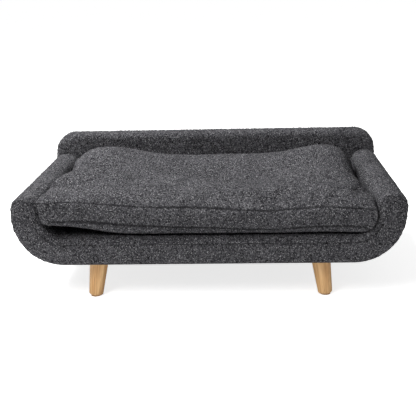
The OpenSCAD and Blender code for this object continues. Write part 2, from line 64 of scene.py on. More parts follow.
def mound(x, y, spot):
    middleX, middleY, wide, deep, rise, *way = spot
    turn = math.radians(way[0]) if way else 0.0
    dx, dy = x - middleX, y - middleY
    along = (dx * math.cos(turn) + dy * math.sin(turn)) / wide
    across = (dy * math.cos(turn) - dx * math.sin(turn)) / deep
    falling = np.abs(across) if way else across ** 2
    return rise * np.exp(-(along ** 2) - falling)


def newObject(name, points, faces=(), edges=()):
    mesh = bpy.data.meshes.new(name)
    mesh.from_pydata(np.asarray(points, float).tolist(), list(edges), list(faces))
    obj = bpy.data.objects.new(name, mesh)
    scene.collection.objects.link(obj)
    return obj


def setFloat(obj, label, values):
    layer = obj.data.attributes.new(label, "FLOAT", "POINT")
    layer.data.foreach_set("value", np.asarray(values, np.float32))


def getPoints(mesh):
    flat = np.zeros(len(mesh.vertices) * 3, np.float32)
    mesh.vertices.foreach_get("co", flat)
    return flat.reshape(-1, 3).astype(float)


def setPoints(mesh, points):
    mesh.vertices.foreach_set("co", np.asarray(points, np.float32).ravel())
    mesh.update()


# joins the points that meet and turns every face outwards
def closeUp(obj, distance=0.00004):
    work = bmesh.new()
    work.from_mesh(obj.data)
    bmesh.ops.remove_doubles(work, verts=work.verts, dist=distance)
    bmesh.ops.recalc_face_normals(work, faces=work.faces)
    work.to_mesh(obj.data)
    work.free()


def smoothShade(obj):
    obj.data.polygons.foreach_set("use_smooth", [True] * len(obj.data.polygons))
    obj.data.update()


# a finished piece: smooth shading, the body it rides on, and hiding the nodes it stands for
def settle(obj, body, slotName, *nodes):
    smoothShade(obj)
    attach(obj, body)
    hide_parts(*nodes)


def settleFoam(pad, body, node):
    pad.data.materials.append(materials["foam"])
    settle(pad, body, "foam", node)


# replaces an object's mesh by what its modifiers make of it
def bake(obj):
    graph = bpy.context.evaluated_depsgraph_get()
    made = bpy.data.meshes.new_from_object(
        obj.evaluated_get(graph), preserve_all_data_layers=True, depsgraph=graph
    )
    obj.modifiers.clear()
    obj.data = made
    made.name = obj.name
    return obj


# a skin over rings of points, each ring closed
def skinRings(name, rings):
    rows, count = rings.shape[:2]
    faces = []
    for row in range(rows - 1):
        low, high = row * count, (row + 1) * count
        for i in range(count):
            j = (i + 1) % count
            faces.append((low + i, low + j, high + j, high + i))
    return newObject(name, rings.reshape(-1, 3), faces)


# node helpers

def place(tree, kind, inputs=None, **settings):
    node = tree.nodes.new(kind)
    for key, value in settings.items():
        setattr(node, key, value)
    for key, value in (inputs or {}).items():
        if isinstance(value, bpy.types.NodeSocket):
            tree.links.new(value, node.inputs[key])
        else:
            node.inputs[key].default_value = value
    return node


def calc(tree, operation, first, second=0.0, clamp=False):
    node = place(tree, "ShaderNodeMath", {0: first, 1: second}, operation=operation, use_clamp=clamp)
    return node.outputs[0]


def calcVector(tree, operation, first, second):
    node = place(tree, "ShaderNodeVectorMath", {0: first, 1: second}, operation=operation)
    return node.outputs[0]


def scaled(tree, vector, factor):
    node = place(tree, "ShaderNodeVectorMath", {0: vector, "Scale": factor}, operation="SCALE")
    return node.outputs[0]


def remap(tree, value, fromLow, fromHigh, toLow=0.0, toHigh=1.0):
    node = place(tree, "ShaderNodeMapRange", {
        "Value": value, "From Min": fromLow, "From Max": fromHigh, "To Min": toLow, "To Max": toHigh,
    })
    return node.outputs["Result"]


def blendColour(tree, factor, first, second, mode="MIX"):
    node = place(
        tree, "ShaderNodeMix", {0: factor, 6: first, 7: second}, data_type="RGBA", blend_type=mode
    )
    return node.outputs[2]


def noise(tree, vector, scale, detail, **more):
    inputs = {"Vector": vector, "Scale": scale, "Detail": detail, **more}
    return place(tree, "ShaderNodeTexNoise", inputs)


def cellular(tree, vector, scale):
    return place(tree, "ShaderNodeTexVoronoi", {"Vector": vector, "Scale": scale})


def addInputs(tree, inputs):
    for label, kind, value in inputs:
        socket = tree.interface.new_socket(name=label, in_out="INPUT", socket_type=kind)
        if value is not None:
            socket.default_value = value


def newGroup(name, inputs, outputs):
    group = bpy.data.node_groups.new(name, "ShaderNodeTree")
    addInputs(group, inputs)
    for label in outputs:
        group.interface.new_socket(name=label, in_out="OUTPUT", socket_type=floatIn)
    start = group.nodes.new("NodeGroupInput")
    end = group.nodes.new("NodeGroupOutput")
    return group, start.outputs, end.inputs


def useGroup(tree, group, inputs):
    return place(tree, "ShaderNodeGroup", inputs, node_tree=group).outputs


# pattern groups shared by the materials

# looped yarn: knots of two sizes, pale flecks, and painted shade in the gaps between loops
def makeBoucleGroup():
    group, given, result = newGroup("bouclePile", [
        ("Place", vectorIn, None), ("Knot size", floatIn, 0.004), ("Fleck share", floatIn, 0.2),
    ], ["Height", "Fleck", "Gap", "Tone"])
    scale = calc(group, "DIVIDE", 1.0, given["Knot size"])
    drift = noise(group, given["Place"], calc(group, "MULTIPLY", scale, 0.6), 2.0)
    shift = calcVector(group, "SUBTRACT", drift.outputs["Color"], (0.5, 0.5, 0.5))
    shift = scaled(group, shift, calc(group, "MULTIPLY", given["Knot size"], 1.6))
    spot = calcVector(group, "ADD", given["Place"], shift)
    knots = cellular(group, spot, scale)
    loops = cellular(group, spot, calc(group, "MULTIPLY", scale, 2.3))
    chance = place(group, "ShaderNodeSeparateColor", {"Color": knots.outputs["Color"]})
    smallChance = place(group, "ShaderNodeSeparateColor", {"Color": loops.outputs["Color"]})
    big = calc(group, "MULTIPLY", calc(group, "SUBTRACT", 1.0, knots.outputs["Distance"]), 0.65)
    small = calc(group, "MULTIPLY", calc(group, "SUBTRACT", 1.0, loops.outputs["Distance"]), 0.35)
    group.links.new(calc(group, "ADD", big, small), result["Height"])
    limit = calc(group, "SUBTRACT", 1.0, given["Fleck share"])
    pick = place(group, "ShaderNodeMapRange", {
        "Value": smallChance.outputs[0], "From Min": limit, "From Max": calc(group, "ADD", limit, 0.12),
    })
    core = remap(group, loops.outputs["Distance"], 0.62, 0.3)
    group.links.new(calc(group, "MULTIPLY", pick.outputs[0], core), result["Fleck"])
    # painted shade: the rims of the knots, where the loops meet, are marked for near-black colour
    group.links.new(remap(group, knots.outputs["Distance"], 0.55, 0.95), result["Gap"])
    tone = calc(group, "ADD", calc(group, "MULTIPLY", chance.outputs[0], 0.55),
                calc(group, "MULTIPLY", smallChance.outputs[1], 0.45))
    group.links.new(tone, result["Tone"])
    return group


# straight grain along the place's third axis: growth rings, fibres and pores
def makeGrainGroup():
    group, given, result = newGroup("woodGrain", [
        ("Place", vectorIn, None), ("Ring size", floatIn, 0.006), ("Stretch", floatIn, 0.06),
    ], ["Rings", "Fibres", "Pores"])
    along = place(group, "ShaderNodeCombineXYZ", {"X": 1.0, "Y": 1.0, "Z": given["Stretch"]})
    drawn = calcVector(group, "MULTIPLY", given["Place"], along.outputs[0])
    perRing = calc(group, "DIVIDE", 1.0, given["Ring size"])
    field = noise(group, drawn, calc(group, "MULTIPLY", perRing, 0.16), 1.5)
    bands = calc(group, "SINE", calc(group, "MULTIPLY", field.outputs[0], 110.0))
    streaks = noise(group, drawn, calc(group, "MULTIPLY", perRing, 1.7), 2.0)
    figure = calc(group, "ADD", calc(group, "MULTIPLY", remap(group, bands, -1.0, 1.0), 0.4),
                  calc(group, "MULTIPLY", remap(group, streaks.outputs[0], 0.36, 0.64), 0.6))
    group.links.new(figure, result["Rings"])
    fibres = noise(group, drawn, calc(group, "MULTIPLY", perRing, 7.0), 3.0)
    group.links.new(remap(group, fibres.outputs[0], 0.3, 0.7), result["Fibres"])
    pores = cellular(group, drawn, calc(group, "MULTIPLY", perRing, 4.5))
    group.links.new(remap(group, pores.outputs["Distance"], 0.22, 0.08), result["Pores"])
    return group


# crossing threads, for tape and backing cloth
def makeWeaveGroup():
    group, given, result = newGroup("plainWeave", [
        ("Place", vectorIn, None), ("Thread", floatIn, 0.0008),
    ], ["Height", "Tone"])
    turns = calc(group, "DIVIDE", math.pi, given["Thread"])
    axes = place(group, "ShaderNodeSeparateXYZ", {0: scaled(group, given["Place"], turns)})
    across = calc(group, "SINE", axes.outputs["X"])
    upright = calc(group, "SINE", calc(group, "ADD", axes.outputs["Y"], axes.outputs["Z"]))
    crossing = calc(group, "ABSOLUTE", calc(group, "MULTIPLY", across, upright))
    group.links.new(crossing, result["Height"])
    spots = noise(group, given["Place"], 260.0, 3.0)
    group.links.new(spots.outputs[0], result["Tone"])
    return group


# faint scuffs and dust that dull a hard surface
def makeScuffGroup():
    group, given, result = newGroup("scuffs", [
        ("Place", vectorIn, None), ("Size", floatIn, 0.02),
    ], ["Scuff", "Fine"])
    perSize = calc(group, "DIVIDE", 1.0, given["Size"])
    clouds = noise(group, given["Place"], perSize, 4.0, Roughness=0.65)
    group.links.new(remap(group, clouds.outputs[0], 0.42, 0.7), result["Scuff"])
    fine = noise(group, given["Place"], calc(group, "MULTIPLY", perSize, 24.0), 2.0)
    group.links.new(fine.outputs[0], result["Fine"])
    return group


boucleGroup = makeBoucleGroup()
grainGroup = makeGrainGroup()
weaveGroup = makeWeaveGroup()
scuffGroup = makeScuffGroup()


# materials

def newMaterial(name, **sockets):
    material = bpy.data.materials.new(name)
    material.use_nodes = True
    tree = material.node_tree
    shader = tree.nodes["Principled BSDF"]
    for label, value in sockets.items():
        shader.inputs[label.replace("_", " ")].default_value = value
    where = tree.nodes.new("ShaderNodeTexCoord").outputs["Object"]
    return material, tree, shader, where


def addBump(tree, shader, height, strength, distance):
    bump = place(tree, "ShaderNodeBump", {"Height": height, "Strength": strength, "Distance": distance})
    tree.links.new(bump.outputs[0], shader.inputs["Normal"])


boucleLook = {
    "knotSize": 0.0034, "fleckShare": 0.25,
    "deep": (0.007, 0.007, 0.009, 1), "yarn": (0.112, 0.110, 0.119, 1),
    # the gap colour is painted shade between the loops
    "fleck": (0.45, 0.445, 0.455, 1), "gap": (0.006, 0.006, 0.007, 1),
    # the seam colour is painted shade in the seam grooves
    "seam": (0.008, 0.008, 0.009, 1), "bump": 1.0, "bumpDepth": 0.003,
}


def boucleMaterial(name, look):
    material, tree, shader, where = newMaterial(name, Roughness=0.95)
    shader.inputs["Specular IOR Level"].default_value = 0.06
    pile = useGroup(tree, boucleGroup, {
        "Place": where, "Knot size": look["knotSize"], "Fleck share": look["fleckShare"],
    })
    patches = noise(tree, where, 14.0, 3.0)
    patchy = remap(tree, patches.outputs[0], 0.3, 0.7, 0.8, 1.2)
    lightness = calc(tree, "MULTIPLY", pile["Tone"], patchy, True)
    colour = blendColour(tree, lightness, look["deep"], look["yarn"])
    colour = blendColour(tree, pile["Fleck"], colour, look["fleck"])
    # painted shade: the gaps between loops are painted near black
    colour = blendColour(tree, pile["Gap"], colour, look["gap"])
    # painted shade: the seam grooves and the cushion's seam lines are painted near black
    seam = place(tree, "ShaderNodeAttribute", attribute_name="seam").outputs["Fac"]
    colour = blendColour(tree, remap(tree, seam, 0.5, 1.0, 0.0, 0.85), colour, look["seam"])
    tree.links.new(colour, shader.inputs["Base Color"])
    addBump(tree, shader, pile["Height"], look["bump"], look["bumpDepth"])
    return material


legLook = {
    "pale": (1.00, 0.66, 0.320, 1), "ring": (0.56, 0.270, 0.090, 1), "pore": (0.20, 0.085, 0.028, 1),
    "ringSize": 0.011, "stretch": 0.050, "figure": 0.90,
    "foot": (0.30, 0.125, 0.035, 1), "footHeight": 0.0045,
}


def grainMaterial(name, look, grainFrom=None, **sockets):
    material, tree, shader, where = newMaterial(name, **sockets)
    height = place(tree, "ShaderNodeSeparateXYZ", {0: where}).outputs["Z"]
    if grainFrom:
        where = place(tree, "ShaderNodeAttribute", attribute_name=grainFrom).outputs["Vector"]
    grain = useGroup(tree, grainGroup, {
        "Place": where, "Ring size": look["ringSize"], "Stretch": look["stretch"],
    })
    scuff = useGroup(tree, scuffGroup, {"Place": where, "Size": 0.03})
    figure = calc(tree, "MULTIPLY", grain["Rings"], look["figure"])
    colour = blendColour(tree, figure, look["pale"], look["ring"])
    colour = blendColour(tree, calc(tree, "MULTIPLY", grain["Fibres"], 0.25), colour, look["ring"])
    colour = blendColour(tree, calc(tree, "MULTIPLY", grain["Pores"], 0.45), colour, look["pore"])
    # the bottom few millimetres of the leg are painted darker
    if "foot" in look:
        ring = remap(tree, height, look["footHeight"], look["footHeight"] * 0.5, 0.0, 0.8)
        colour = blendColour(tree, ring, colour, look["foot"])
    tree.links.new(colour, shader.inputs["Base Color"])
    tree.links.new(remap(tree, scuff["Scuff"], 0.0, 1.0, 0.42, 0.62), shader.inputs["Roughness"])
    relief = calc(tree, "SUBTRACT", grain["Fibres"], grain["Pores"])
    addBump(tree, shader, relief, 0.25, 0.0004)
    return material


def foamMaterial(name):
    material, tree, shader, where = newMaterial(name, Roughness=0.9)
    cells = cellular(tree, where, 900.0)
    tone = noise(tree, where, 30.0, 3.0)
    colour = blendColour(tree, tone.outputs[0], (0.86, 0.80, 0.62, 1), (0.93, 0.90, 0.80, 1))
    tree.links.new(colour, shader.inputs["Base Color"])
    addBump(tree, shader, cells.outputs["Distance"], 0.5, 0.0006)
    return material


def metalMaterial(name, colour, dull, roughness):
    material, tree, shader, where = newMaterial(name, Metallic=1.0)
    scuff = useGroup(tree, scuffGroup, {"Place": where, "Size": 0.006})
    mixed = blendColour(tree, calc(tree, "MULTIPLY", scuff["Scuff"], 0.6), colour, dull)
    tree.links.new(mixed, shader.inputs["Base Color"])
    rough = remap(tree, scuff["Scuff"], 0.0, 1.0, roughness, roughness + 0.22)
    tree.links.new(rough, shader.inputs["Roughness"])
    addBump(tree, shader, scuff["Fine"], 0.12, 0.0002)
    return material


def plasticMaterial(name, colour, worn):
    material, tree, shader, where = newMaterial(name)
    scuff = useGroup(tree, scuffGroup, {"Place": where, "Size": 0.01})
    mixed = blendColour(tree, calc(tree, "MULTIPLY", scuff["Scuff"], 0.5), colour, worn)
    tree.links.new(mixed, shader.inputs["Base Color"])
    tree.links.new(remap(tree, scuff["Fine"], 0.3, 0.7, 0.4, 0.6), shader.inputs["Roughness"])
    addBump(tree, shader, scuff["Fine"], 0.2, 0.0002)
    return material


def clothMaterial(name, thread, dark, pale):
    material, tree, shader, where = newMaterial(name, Roughness=0.85)
    weave = useGroup(tree, weaveGroup, {"Place": where, "Thread": thread})
    tone = calc(tree, "MULTIPLY", weave["Height"], weave["Tone"])
    tree.links.new(blendColour(tree, tone, dark, pale), shader.inputs["Base Color"])
    addBump(tree, shader, weave["Height"], 0.5, 0.0004)
    return material


plyLook = {
    "pale": (0.72, 0.54, 0.33, 1), "ring": (0.56, 0.38, 0.20, 1), "pore": (0.33, 0.20, 0.10, 1),
    "ringSize": 0.012, "stretch": 0.08, "figure": 0.4,
}
pineLook = {
    "pale": (0.78, 0.60, 0.36, 1), "ring": (0.60, 0.40, 0.20, 1), "pore": (0.40, 0.24, 0.12, 1),
    "ringSize": 0.009, "stretch": 0.07, "figure": 0.6,
}
bouclePile = boucleMaterial("bouclePile", boucleLook)
materials = {
    "plywood": grainMaterial("birchPly", plyLook),
    "wood": grainMaterial("pineRail", pineLook),
    "leg_wood": grainMaterial("oiledOak", legLook, grainFrom="grainPlace"),
    "steel": metalMaterial("zincSteel", (0.62, 0.63, 0.65, 1), (0.42, 0.42, 0.43, 1), 0.28),
    "brass": metalMaterial("insertBrass", (0.78, 0.58, 0.28, 1), (0.50, 0.36, 0.17, 1), 0.25),
    "glide_plastic": plasticMaterial("glideTan", (0.46, 0.29, 0.14, 1), (0.34, 0.21, 0.10, 1)),
    "foam": foamMaterial("seatFoam"),
    "boucle": bouclePile,
    "dust_cloth": clothMaterial("spunbondBlack", 0.0011, (0.008, 0.008, 0.009, 1), (0.045, 0.045, 0.048, 1)),
    "zip_cloth": clothMaterial("zipTapeCloth", 0.0007, (0.012, 0.012, 0.013, 1), (0.07, 0.07, 0.075, 1)),
    "zip_plastic": plasticMaterial("zipCoil", (0.035, 0.035, 0.038, 1), (0.10, 0.10, 0.11, 1)),
    "zip_metal": metalMaterial("zipNickel", (0.30, 0.30, 0.31, 1), (0.16, 0.16, 0.17, 1), 0.3),
}
threadMaterial = clothMaterial("sewingThread", 0.0004, (0.006, 0.006, 0.007, 1), (0.03, 0.03, 0.033, 1))
for part in frame["record"]["subparts"]:
    data = frame["nodes"][part["node"]].data
    data.materials.clear()
    data.materials.append(materials[part["material_slot"]])
print("materials ready:", len(materials))


# Geometry Nodes trees

def newTree(name, inputs):
    tree = bpy.data.node_groups.new(name, "GeometryNodeTree")
    tree.interface.new_socket(name="Geometry", in_out="INPUT", socket_type=geometryIn)
    addInputs(tree, inputs)
    tree.interface.new_socket(name="Geometry", in_out="OUTPUT", socket_type=geometryIn)
    start = tree.nodes.new("NodeGroupInput")
    end = tree.nodes.new("NodeGroupOutput")
    return tree, start.outputs, end.inputs


def endTree(tree, geometry, material, result):
    real = place(tree, "GeometryNodeRealizeInstances", {"Geometry": geometry})
    painted = place(tree, "GeometryNodeSetMaterial", {"Geometry": real.outputs[0], "Material": material})
    tree.links.new(painted.outputs[0], result["Geometry"])


def growWith(obj, tree, values):
    modifier = obj.modifiers.new("grow", "NODES")
    modifier.node_group = tree
    keys = {
        item.name: item.identifier for item in tree.interface.items_tree
        if item.item_type == "SOCKET" and item.in_out == "INPUT"
    }
    for label, value in values.items():
        modifier[keys[label]] = value
    return bake(obj)


# raises the looped pile and the slight unevenness of stuffed fabric, held back where pile is low
def makePileTree():
    tree, given, result = newTree("pileRelief", [
        ("Loop size", floatIn, 0.006), ("Loop height", floatIn, 0.0016),
        ("Swell size", floatIn, 0.09), ("Swell height", floatIn, 0.002), ("Material", materialIn, None),
    ])
    spot = tree.nodes.new("GeometryNodeInputPosition").outputs[0]
    normal = tree.nodes.new("GeometryNodeInputNormal").outputs[0]
    amount = place(tree, "GeometryNodeInputNamedAttribute", {"Name": "pile"}, data_type="FLOAT")
    loops = cellular(tree, spot, calc(tree, "DIVIDE", 1.0, given["Loop size"]))
    swell = noise(tree, spot, calc(tree, "DIVIDE", 1.0, given["Swell size"]), 2.0)
    deepest, level = 0.85, 0.65  # in loops: where the gaps stop, and what counts as no rise
    depth = calc(tree, "MINIMUM", loops.outputs["Distance"], deepest)
    rise = calc(tree, "MULTIPLY", calc(tree, "SUBTRACT", level, depth), given["Loop height"])
    roll = calc(tree, "MULTIPLY", calc(tree, "SUBTRACT", swell.outputs[0], 0.5), given["Swell height"])
    total = calc(tree, "MULTIPLY", calc(tree, "ADD", rise, roll), amount.outputs[0])
    moved = place(tree, "GeometryNodeSetPosition", {
        "Geometry": given["Geometry"], "Offset": scaled(tree, normal, total),
    })
    endTree(tree, moved.outputs[0], given["Material"], result)
    return tree


# rounded stitches, staples or teeth set along a path
def makeRunTree():
    tree, given, result = newTree("stitchRun", [
        ("Pitch", floatIn, 0.005), ("Length", floatIn, 0.0035), ("Thickness", floatIn, 0.0008),
        ("Turn", floatIn, 0.0), ("Wobble", floatIn, 0.1), ("Seed", intIn, 3), ("Material", materialIn, None),
    ])
    path = place(tree, "GeometryNodeMeshToCurve", {"Mesh": given["Geometry"]})
    spaced = place(tree, "GeometryNodeResampleCurve", {
        "Curve": path.outputs[0], "Length": given["Pitch"],
    }, mode="LENGTH")
    bead = place(tree, "GeometryNodeMeshUVSphere", {"Segments": 6, "Rings": 4, "Radius": 0.5})
    tangent = tree.nodes.new("GeometryNodeInputTangent").outputs[0]
    facing = place(tree, "FunctionNodeAlignRotationToVector", {"Vector": tangent}, axis="X")
    lean = place(tree, "FunctionNodeRandomValue", {
        "Min": calc(tree, "MULTIPLY", given["Wobble"], -1.0), "Max": given["Wobble"], "Seed": given["Seed"],
    }, data_type="FLOAT")
    angle = calc(tree, "ADD", given["Turn"], lean.outputs["Value"])
    turn = place(tree, "ShaderNodeCombineXYZ", {"Y": angle})
    spin = place(tree, "FunctionNodeEulerToRotation", {0: turn.outputs[0]})
    rotation = place(tree, "FunctionNodeRotateRotation", {
        "Rotation": facing.outputs[0], "Rotate By": spin.outputs[0],
    }, rotation_space="LOCAL")
    size = place(tree, "ShaderNodeCombineXYZ", {
        "X": given["Length"], "Y": given["Thickness"], "Z": given["Thickness"],
    })
    beads = place(tree, "GeometryNodeInstanceOnPoints", {
        "Points": spaced.outputs[0], "Instance": bead.outputs["Mesh"],
        "Rotation": rotation.outputs[0], "Scale": size.outputs[0],
    })
    endTree(tree, beads.outputs[0], given["Material"], result)
    return tree


pileTree = makePileTree()
runTree = makeRunTree()


# stitches along one or more polylines; a closed one joins its ends
def addRun(name, lines, plan, material, body, closed=True):
    points, edges = [], []
    for line in lines:
        first = len(points)
        points.extend(line)
        edges.extend((first + i, first + i + 1) for i in range(len(line) - 1))
        if closed:
            edges.append((len(points) - 1, first))
    run = newObject(name, points, edges=edges)
    growWith(run, runTree, {
        "Pitch": plan["pitch"], "Length": plan["length"], "Thickness": plan["thickness"],
        "Turn": plan.get("turn", 0.0), "Wobble": plan.get("wobble", 0.08), "Seed": plan.get("seed", 3),
        "Material": material,
    })
    smoothShade(run)
    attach(run, body)
    return run


seamStitch = {"pitch": 0.0052, "length": 0.0036, "thickness": 0.0009}


# the U-shaped shell: seat and both arms in one padded band

shellBox = [np.array(corner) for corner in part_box("shell_cover")]
backBox = [np.array(corner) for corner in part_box("back_cover")]
shellPlan = {
    "thickness": 0.066, "cornerRadius": 0.118, "inset": 0.0, "frontEdge": 0.013,
    "rearEdge": 0.002, "rearReach": 0.001, "step": 0.0036,
    "capSteps": 28, "capFullness": 0.045, "puff": 0.0022,
    "seamInset": 0.015, "armSeamInset": 0.0055, "seamDepth": 0.0020, "seamWidth": 0.0015,
}
pileRelief = {
    "Loop size": 0.0060, "Loop height": 0.0034, "Swell size": 0.08, "Swell height": 0.0022,
    "Material": bouclePile,
}


# the band's middle line from the left arm's top to the right arm's, with its outward direction
def bandSpine(plan):
    half = plan["thickness"] / 2
    sideX = shellBox[1][0] - half
    cornerX = shellBox[1][0] - plan["cornerRadius"]
    cornerZ = shellBox[0][2] + plan["cornerRadius"]
    topZ = shellBox[1][2] - half
    radius = plan["cornerRadius"] - half
    step = plan["step"]
    rises = max(2, round((topZ - cornerZ) / step))
    bends = max(6, round(radius * math.pi / 2 / step))
    runs = max(8, round(2 * cornerX / step))
    spots, outs = [], []
    for z in np.linspace(topZ, cornerZ, rises + 1)[:-1]:
        spots.append((-sideX, z))
        outs.append((-1.0, 0.0))
    for angle in np.linspace(math.pi, 1.5 * math.pi, bends + 1)[:-1]:
        outs.append((math.cos(angle), math.sin(angle)))
        spots.append((-cornerX + radius * outs[-1][0], cornerZ + radius * outs[-1][1]))
    for x in np.linspace(-cornerX, cornerX, runs + 1)[:-1]:
        spots.append((x, shellBox[0][2] + half))
        outs.append((0.0, -1.0))
    for angle in np.linspace(1.5 * math.pi, 2 * math.pi, bends + 1)[:-1]:
        outs.append((math.cos(angle), math.sin(angle)))
        spots.append((cornerX + radius * outs[-1][0], cornerZ + radius * outs[-1][1]))
    for z in np.linspace(cornerZ, topZ, rises + 1):
        spots.append((sideX, z))
        outs.append((1.0, 0.0))
    return np.array(spots), np.array(outs)


# the closed outline round the band: for each point its place on the middle line, its direction,
# and how far it belongs to the inside of the U
def bandOutline(plan):
    spots, outs = bandSpine(plan)
    turns = np.linspace(0, math.pi, plan["capSteps"] + 1)[1:-1]
    fuller = 1 + plan["capFullness"] * np.sin(2 * turns) ** 2
    capOut = np.stack([np.cos(turns), np.sin(turns)], 1) * fuller[:, None]
    capInside = ease(0.15, 0.9, turns)
    middle = np.concatenate([
        spots, np.repeat(spots[-1:], len(turns), 0), spots[::-1], np.repeat(spots[:1], len(turns), 0),
    ])
    out = np.concatenate([outs, capOut, -outs[::-1], capOut])
    inside = np.concatenate([
        np.zeros(len(spots)), capInside, np.ones(len(spots)), capInside[::-1],
    ])
    return middle, out, inside


# rounds from the middle of the front face over its edge, along the depth, and to the rear's middle
def bandRings(plan, frontY, rearY):
    half = plan["thickness"] / 2 - plan["inset"]
    edge, rearEdge = plan["frontEdge"], plan["rearEdge"]
    steps = []
    faceInsets = [half, half - 0.004, half - 0.008, half - 0.0115, 0.0190, 0.0174, 0.0162, 0.0150, 0.0138]
    for inset in faceInsets:
        if inset > edge:
            crown = plan["puff"] * math.sin(math.pi / 2 * (inset - edge) / (half - edge))
            steps.append((inset, frontY - crown, math.pi / 2))
    for angle in np.linspace(math.pi / 2, 0, 8):
        steps.append((edge * (1 - math.cos(angle)), frontY + edge * (1 - math.sin(angle)), angle))
    count = round((rearY - frontY - edge - rearEdge) / plan["step"])
    for y in np.linspace(frontY + edge, rearY - rearEdge, count + 1)[1:]:
        steps.append((0.0, y, 0.0))
    for angle in np.linspace(0, math.pi / 2, 4)[1:]:
        steps.append((rearEdge * (1 - math.cos(angle)), rearY - rearEdge * (1 - math.sin(angle)), None))
    for inset in np.linspace(rearEdge, half, 5)[1:]:
        steps.append((inset, rearY, None))
    return half, steps


def bandPiece(name, plan, frontY, rearY, seam=False):
    middle, out, inside = bandOutline(plan)
    half, steps = bandRings(plan, frontY, rearY)
    lowMiddle = middle[:, 1] < shellBox[0][2] + plan["cornerRadius"]
    armward = np.where(lowMiddle, ease(0.165, 0.205, middle[:, 1]), 1.0)
    armward = np.where(inside < 1.0, 1.0, armward)
    seamInset = plan["seamInset"] + (plan["armSeamInset"] - plan["seamInset"]) * armward
    rings, marks = [], []
    for inset, y, angle in steps:
        ring = np.zeros((len(middle), 3))
        flat = middle + out * (half - inset)
        ring[:, 0], ring[:, 1], ring[:, 2] = flat[:, 0], y, flat[:, 1]
        groove = np.zeros(len(middle))
        if seam and angle is not None:
            groove = inside * np.exp(-((inset - seamInset) / plan["seamWidth"]) ** 2)
            push = groove * plan["seamDepth"]
            ring[:, 0] -= out[:, 0] * push * math.cos(angle)
            ring[:, 2] -= out[:, 1] * push * math.cos(angle)
            ring[:, 1] += push * math.sin(angle)
        rings.append(ring)
        marks.append(groove)
    piece = skinRings(name, np.stack(rings))
    # the marks give where the seam groove is pressed in and where its painted shade goes
    setFloat(piece, "seam", np.concatenate(marks))
    return piece, middle, out, inside, seamInset


def buildShell():
    piece, middle, out, inside, seamInset = bandPiece(
        "shellCover", shellPlan, shellBox[0][1], shellBox[1][1] + shellPlan["rearReach"], seam=True
    )
    # the underside is stretched flat under the dust cover, and the seat is pressed flat
    points = getPoints(piece.data)
    under = ease(shellBox[0][2] + 0.012, shellBox[0][2] + 0.002, points[:, 2])
    end = ease(shellBox[1][1] - 0.003, shellBox[1][1] - 0.001, points[:, 1])
    setFloat(piece, "pile", (1.0 - 0.95 * under) * (1.0 - 0.9 * end))
    closeUp(piece)
    growWith(piece, pileTree, pileRelief)
    settle(piece, "frame", "boucle", "shell_cover")
    half = shellPlan["thickness"] / 2
    sewn = inside > 0.55
    depth = shellPlan["frontEdge"]
    bend = np.clip(1 - seamInset / depth, -1, 1)
    along = np.where(seamInset < depth, depth * (1 - np.sqrt(1 - bend ** 2)), 0.0)
    flat = middle + out * (half - seamInset)[:, None]
    line = np.stack([flat[:, 0], shellBox[0][1] + along + 0.0006, flat[:, 1]], 1)[sewn]
    starts = np.flatnonzero(np.linalg.norm(np.diff(line, axis=0), axis=1) > 0.05)
    line = np.roll(line, -(starts[0] + 1), axis=0) if len(starts) else line
    stitch = dict(seamStitch, seed=5)
    addRun("shellFrontSeam", [line], stitch, threadMaterial, "frame", closed=False)
    return piece


buildShell()
frontFoamPlan = dict(
    shellPlan, inset=0.003, frontEdge=0.010, rearEdge=0.001, step=0.012, capSteps=10, puff=0.0
)
foamLow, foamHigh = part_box("front_foam")
frontFoam = bandPiece("frontFoamPad", frontFoamPlan, foamLow[1] + 0.0008, foamHigh[1])[0]
closeUp(frontFoam)
settleFoam(frontFoam, "frame", "front_foam")


# the foam half rounds on top of the arms, a few millimetres inside the cover
def buildArmPad(name, node, side):
    low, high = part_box(node)
    half = shellPlan["thickness"] / 2
    radius = half - 0.005
    middle = side * (shellBox[1][0] - half)
    turns = np.linspace(0, math.pi, 13)
    ends = np.linspace(low[1] + 0.001, high[1] - 0.001, 24)
    profile = np.stack([middle + radius * np.cos(turns), low[2] + radius * np.sin(turns)], 1)
    rings = [np.stack([profile[:, 0], np.full(13, y), profile[:, 1]], 1) for y in ends]
    pad = skinRings(name, np.stack(rings))
    closeUp(pad)
    settleFoam(pad, "frame", node)


buildArmPad("armPadLeft", "arm_roll_left", -1)
buildArmPad("armPadRight", "arm_roll_right", 1)
print("shell built")


# the back panel

backPlan = {
    "lowRadius": 0.114, "topRadius": 0.052, "edge": 0.016, "lowEdge": 0.005, "step": 0.0034, "inset": 0.0,
    "frontPuff": 0.002, "rearPuff": 0.004, "spanRings": 27,
    "seamInset": 0.018, "seamDepth": 0.002, "seamWidth": 0.0017,
}


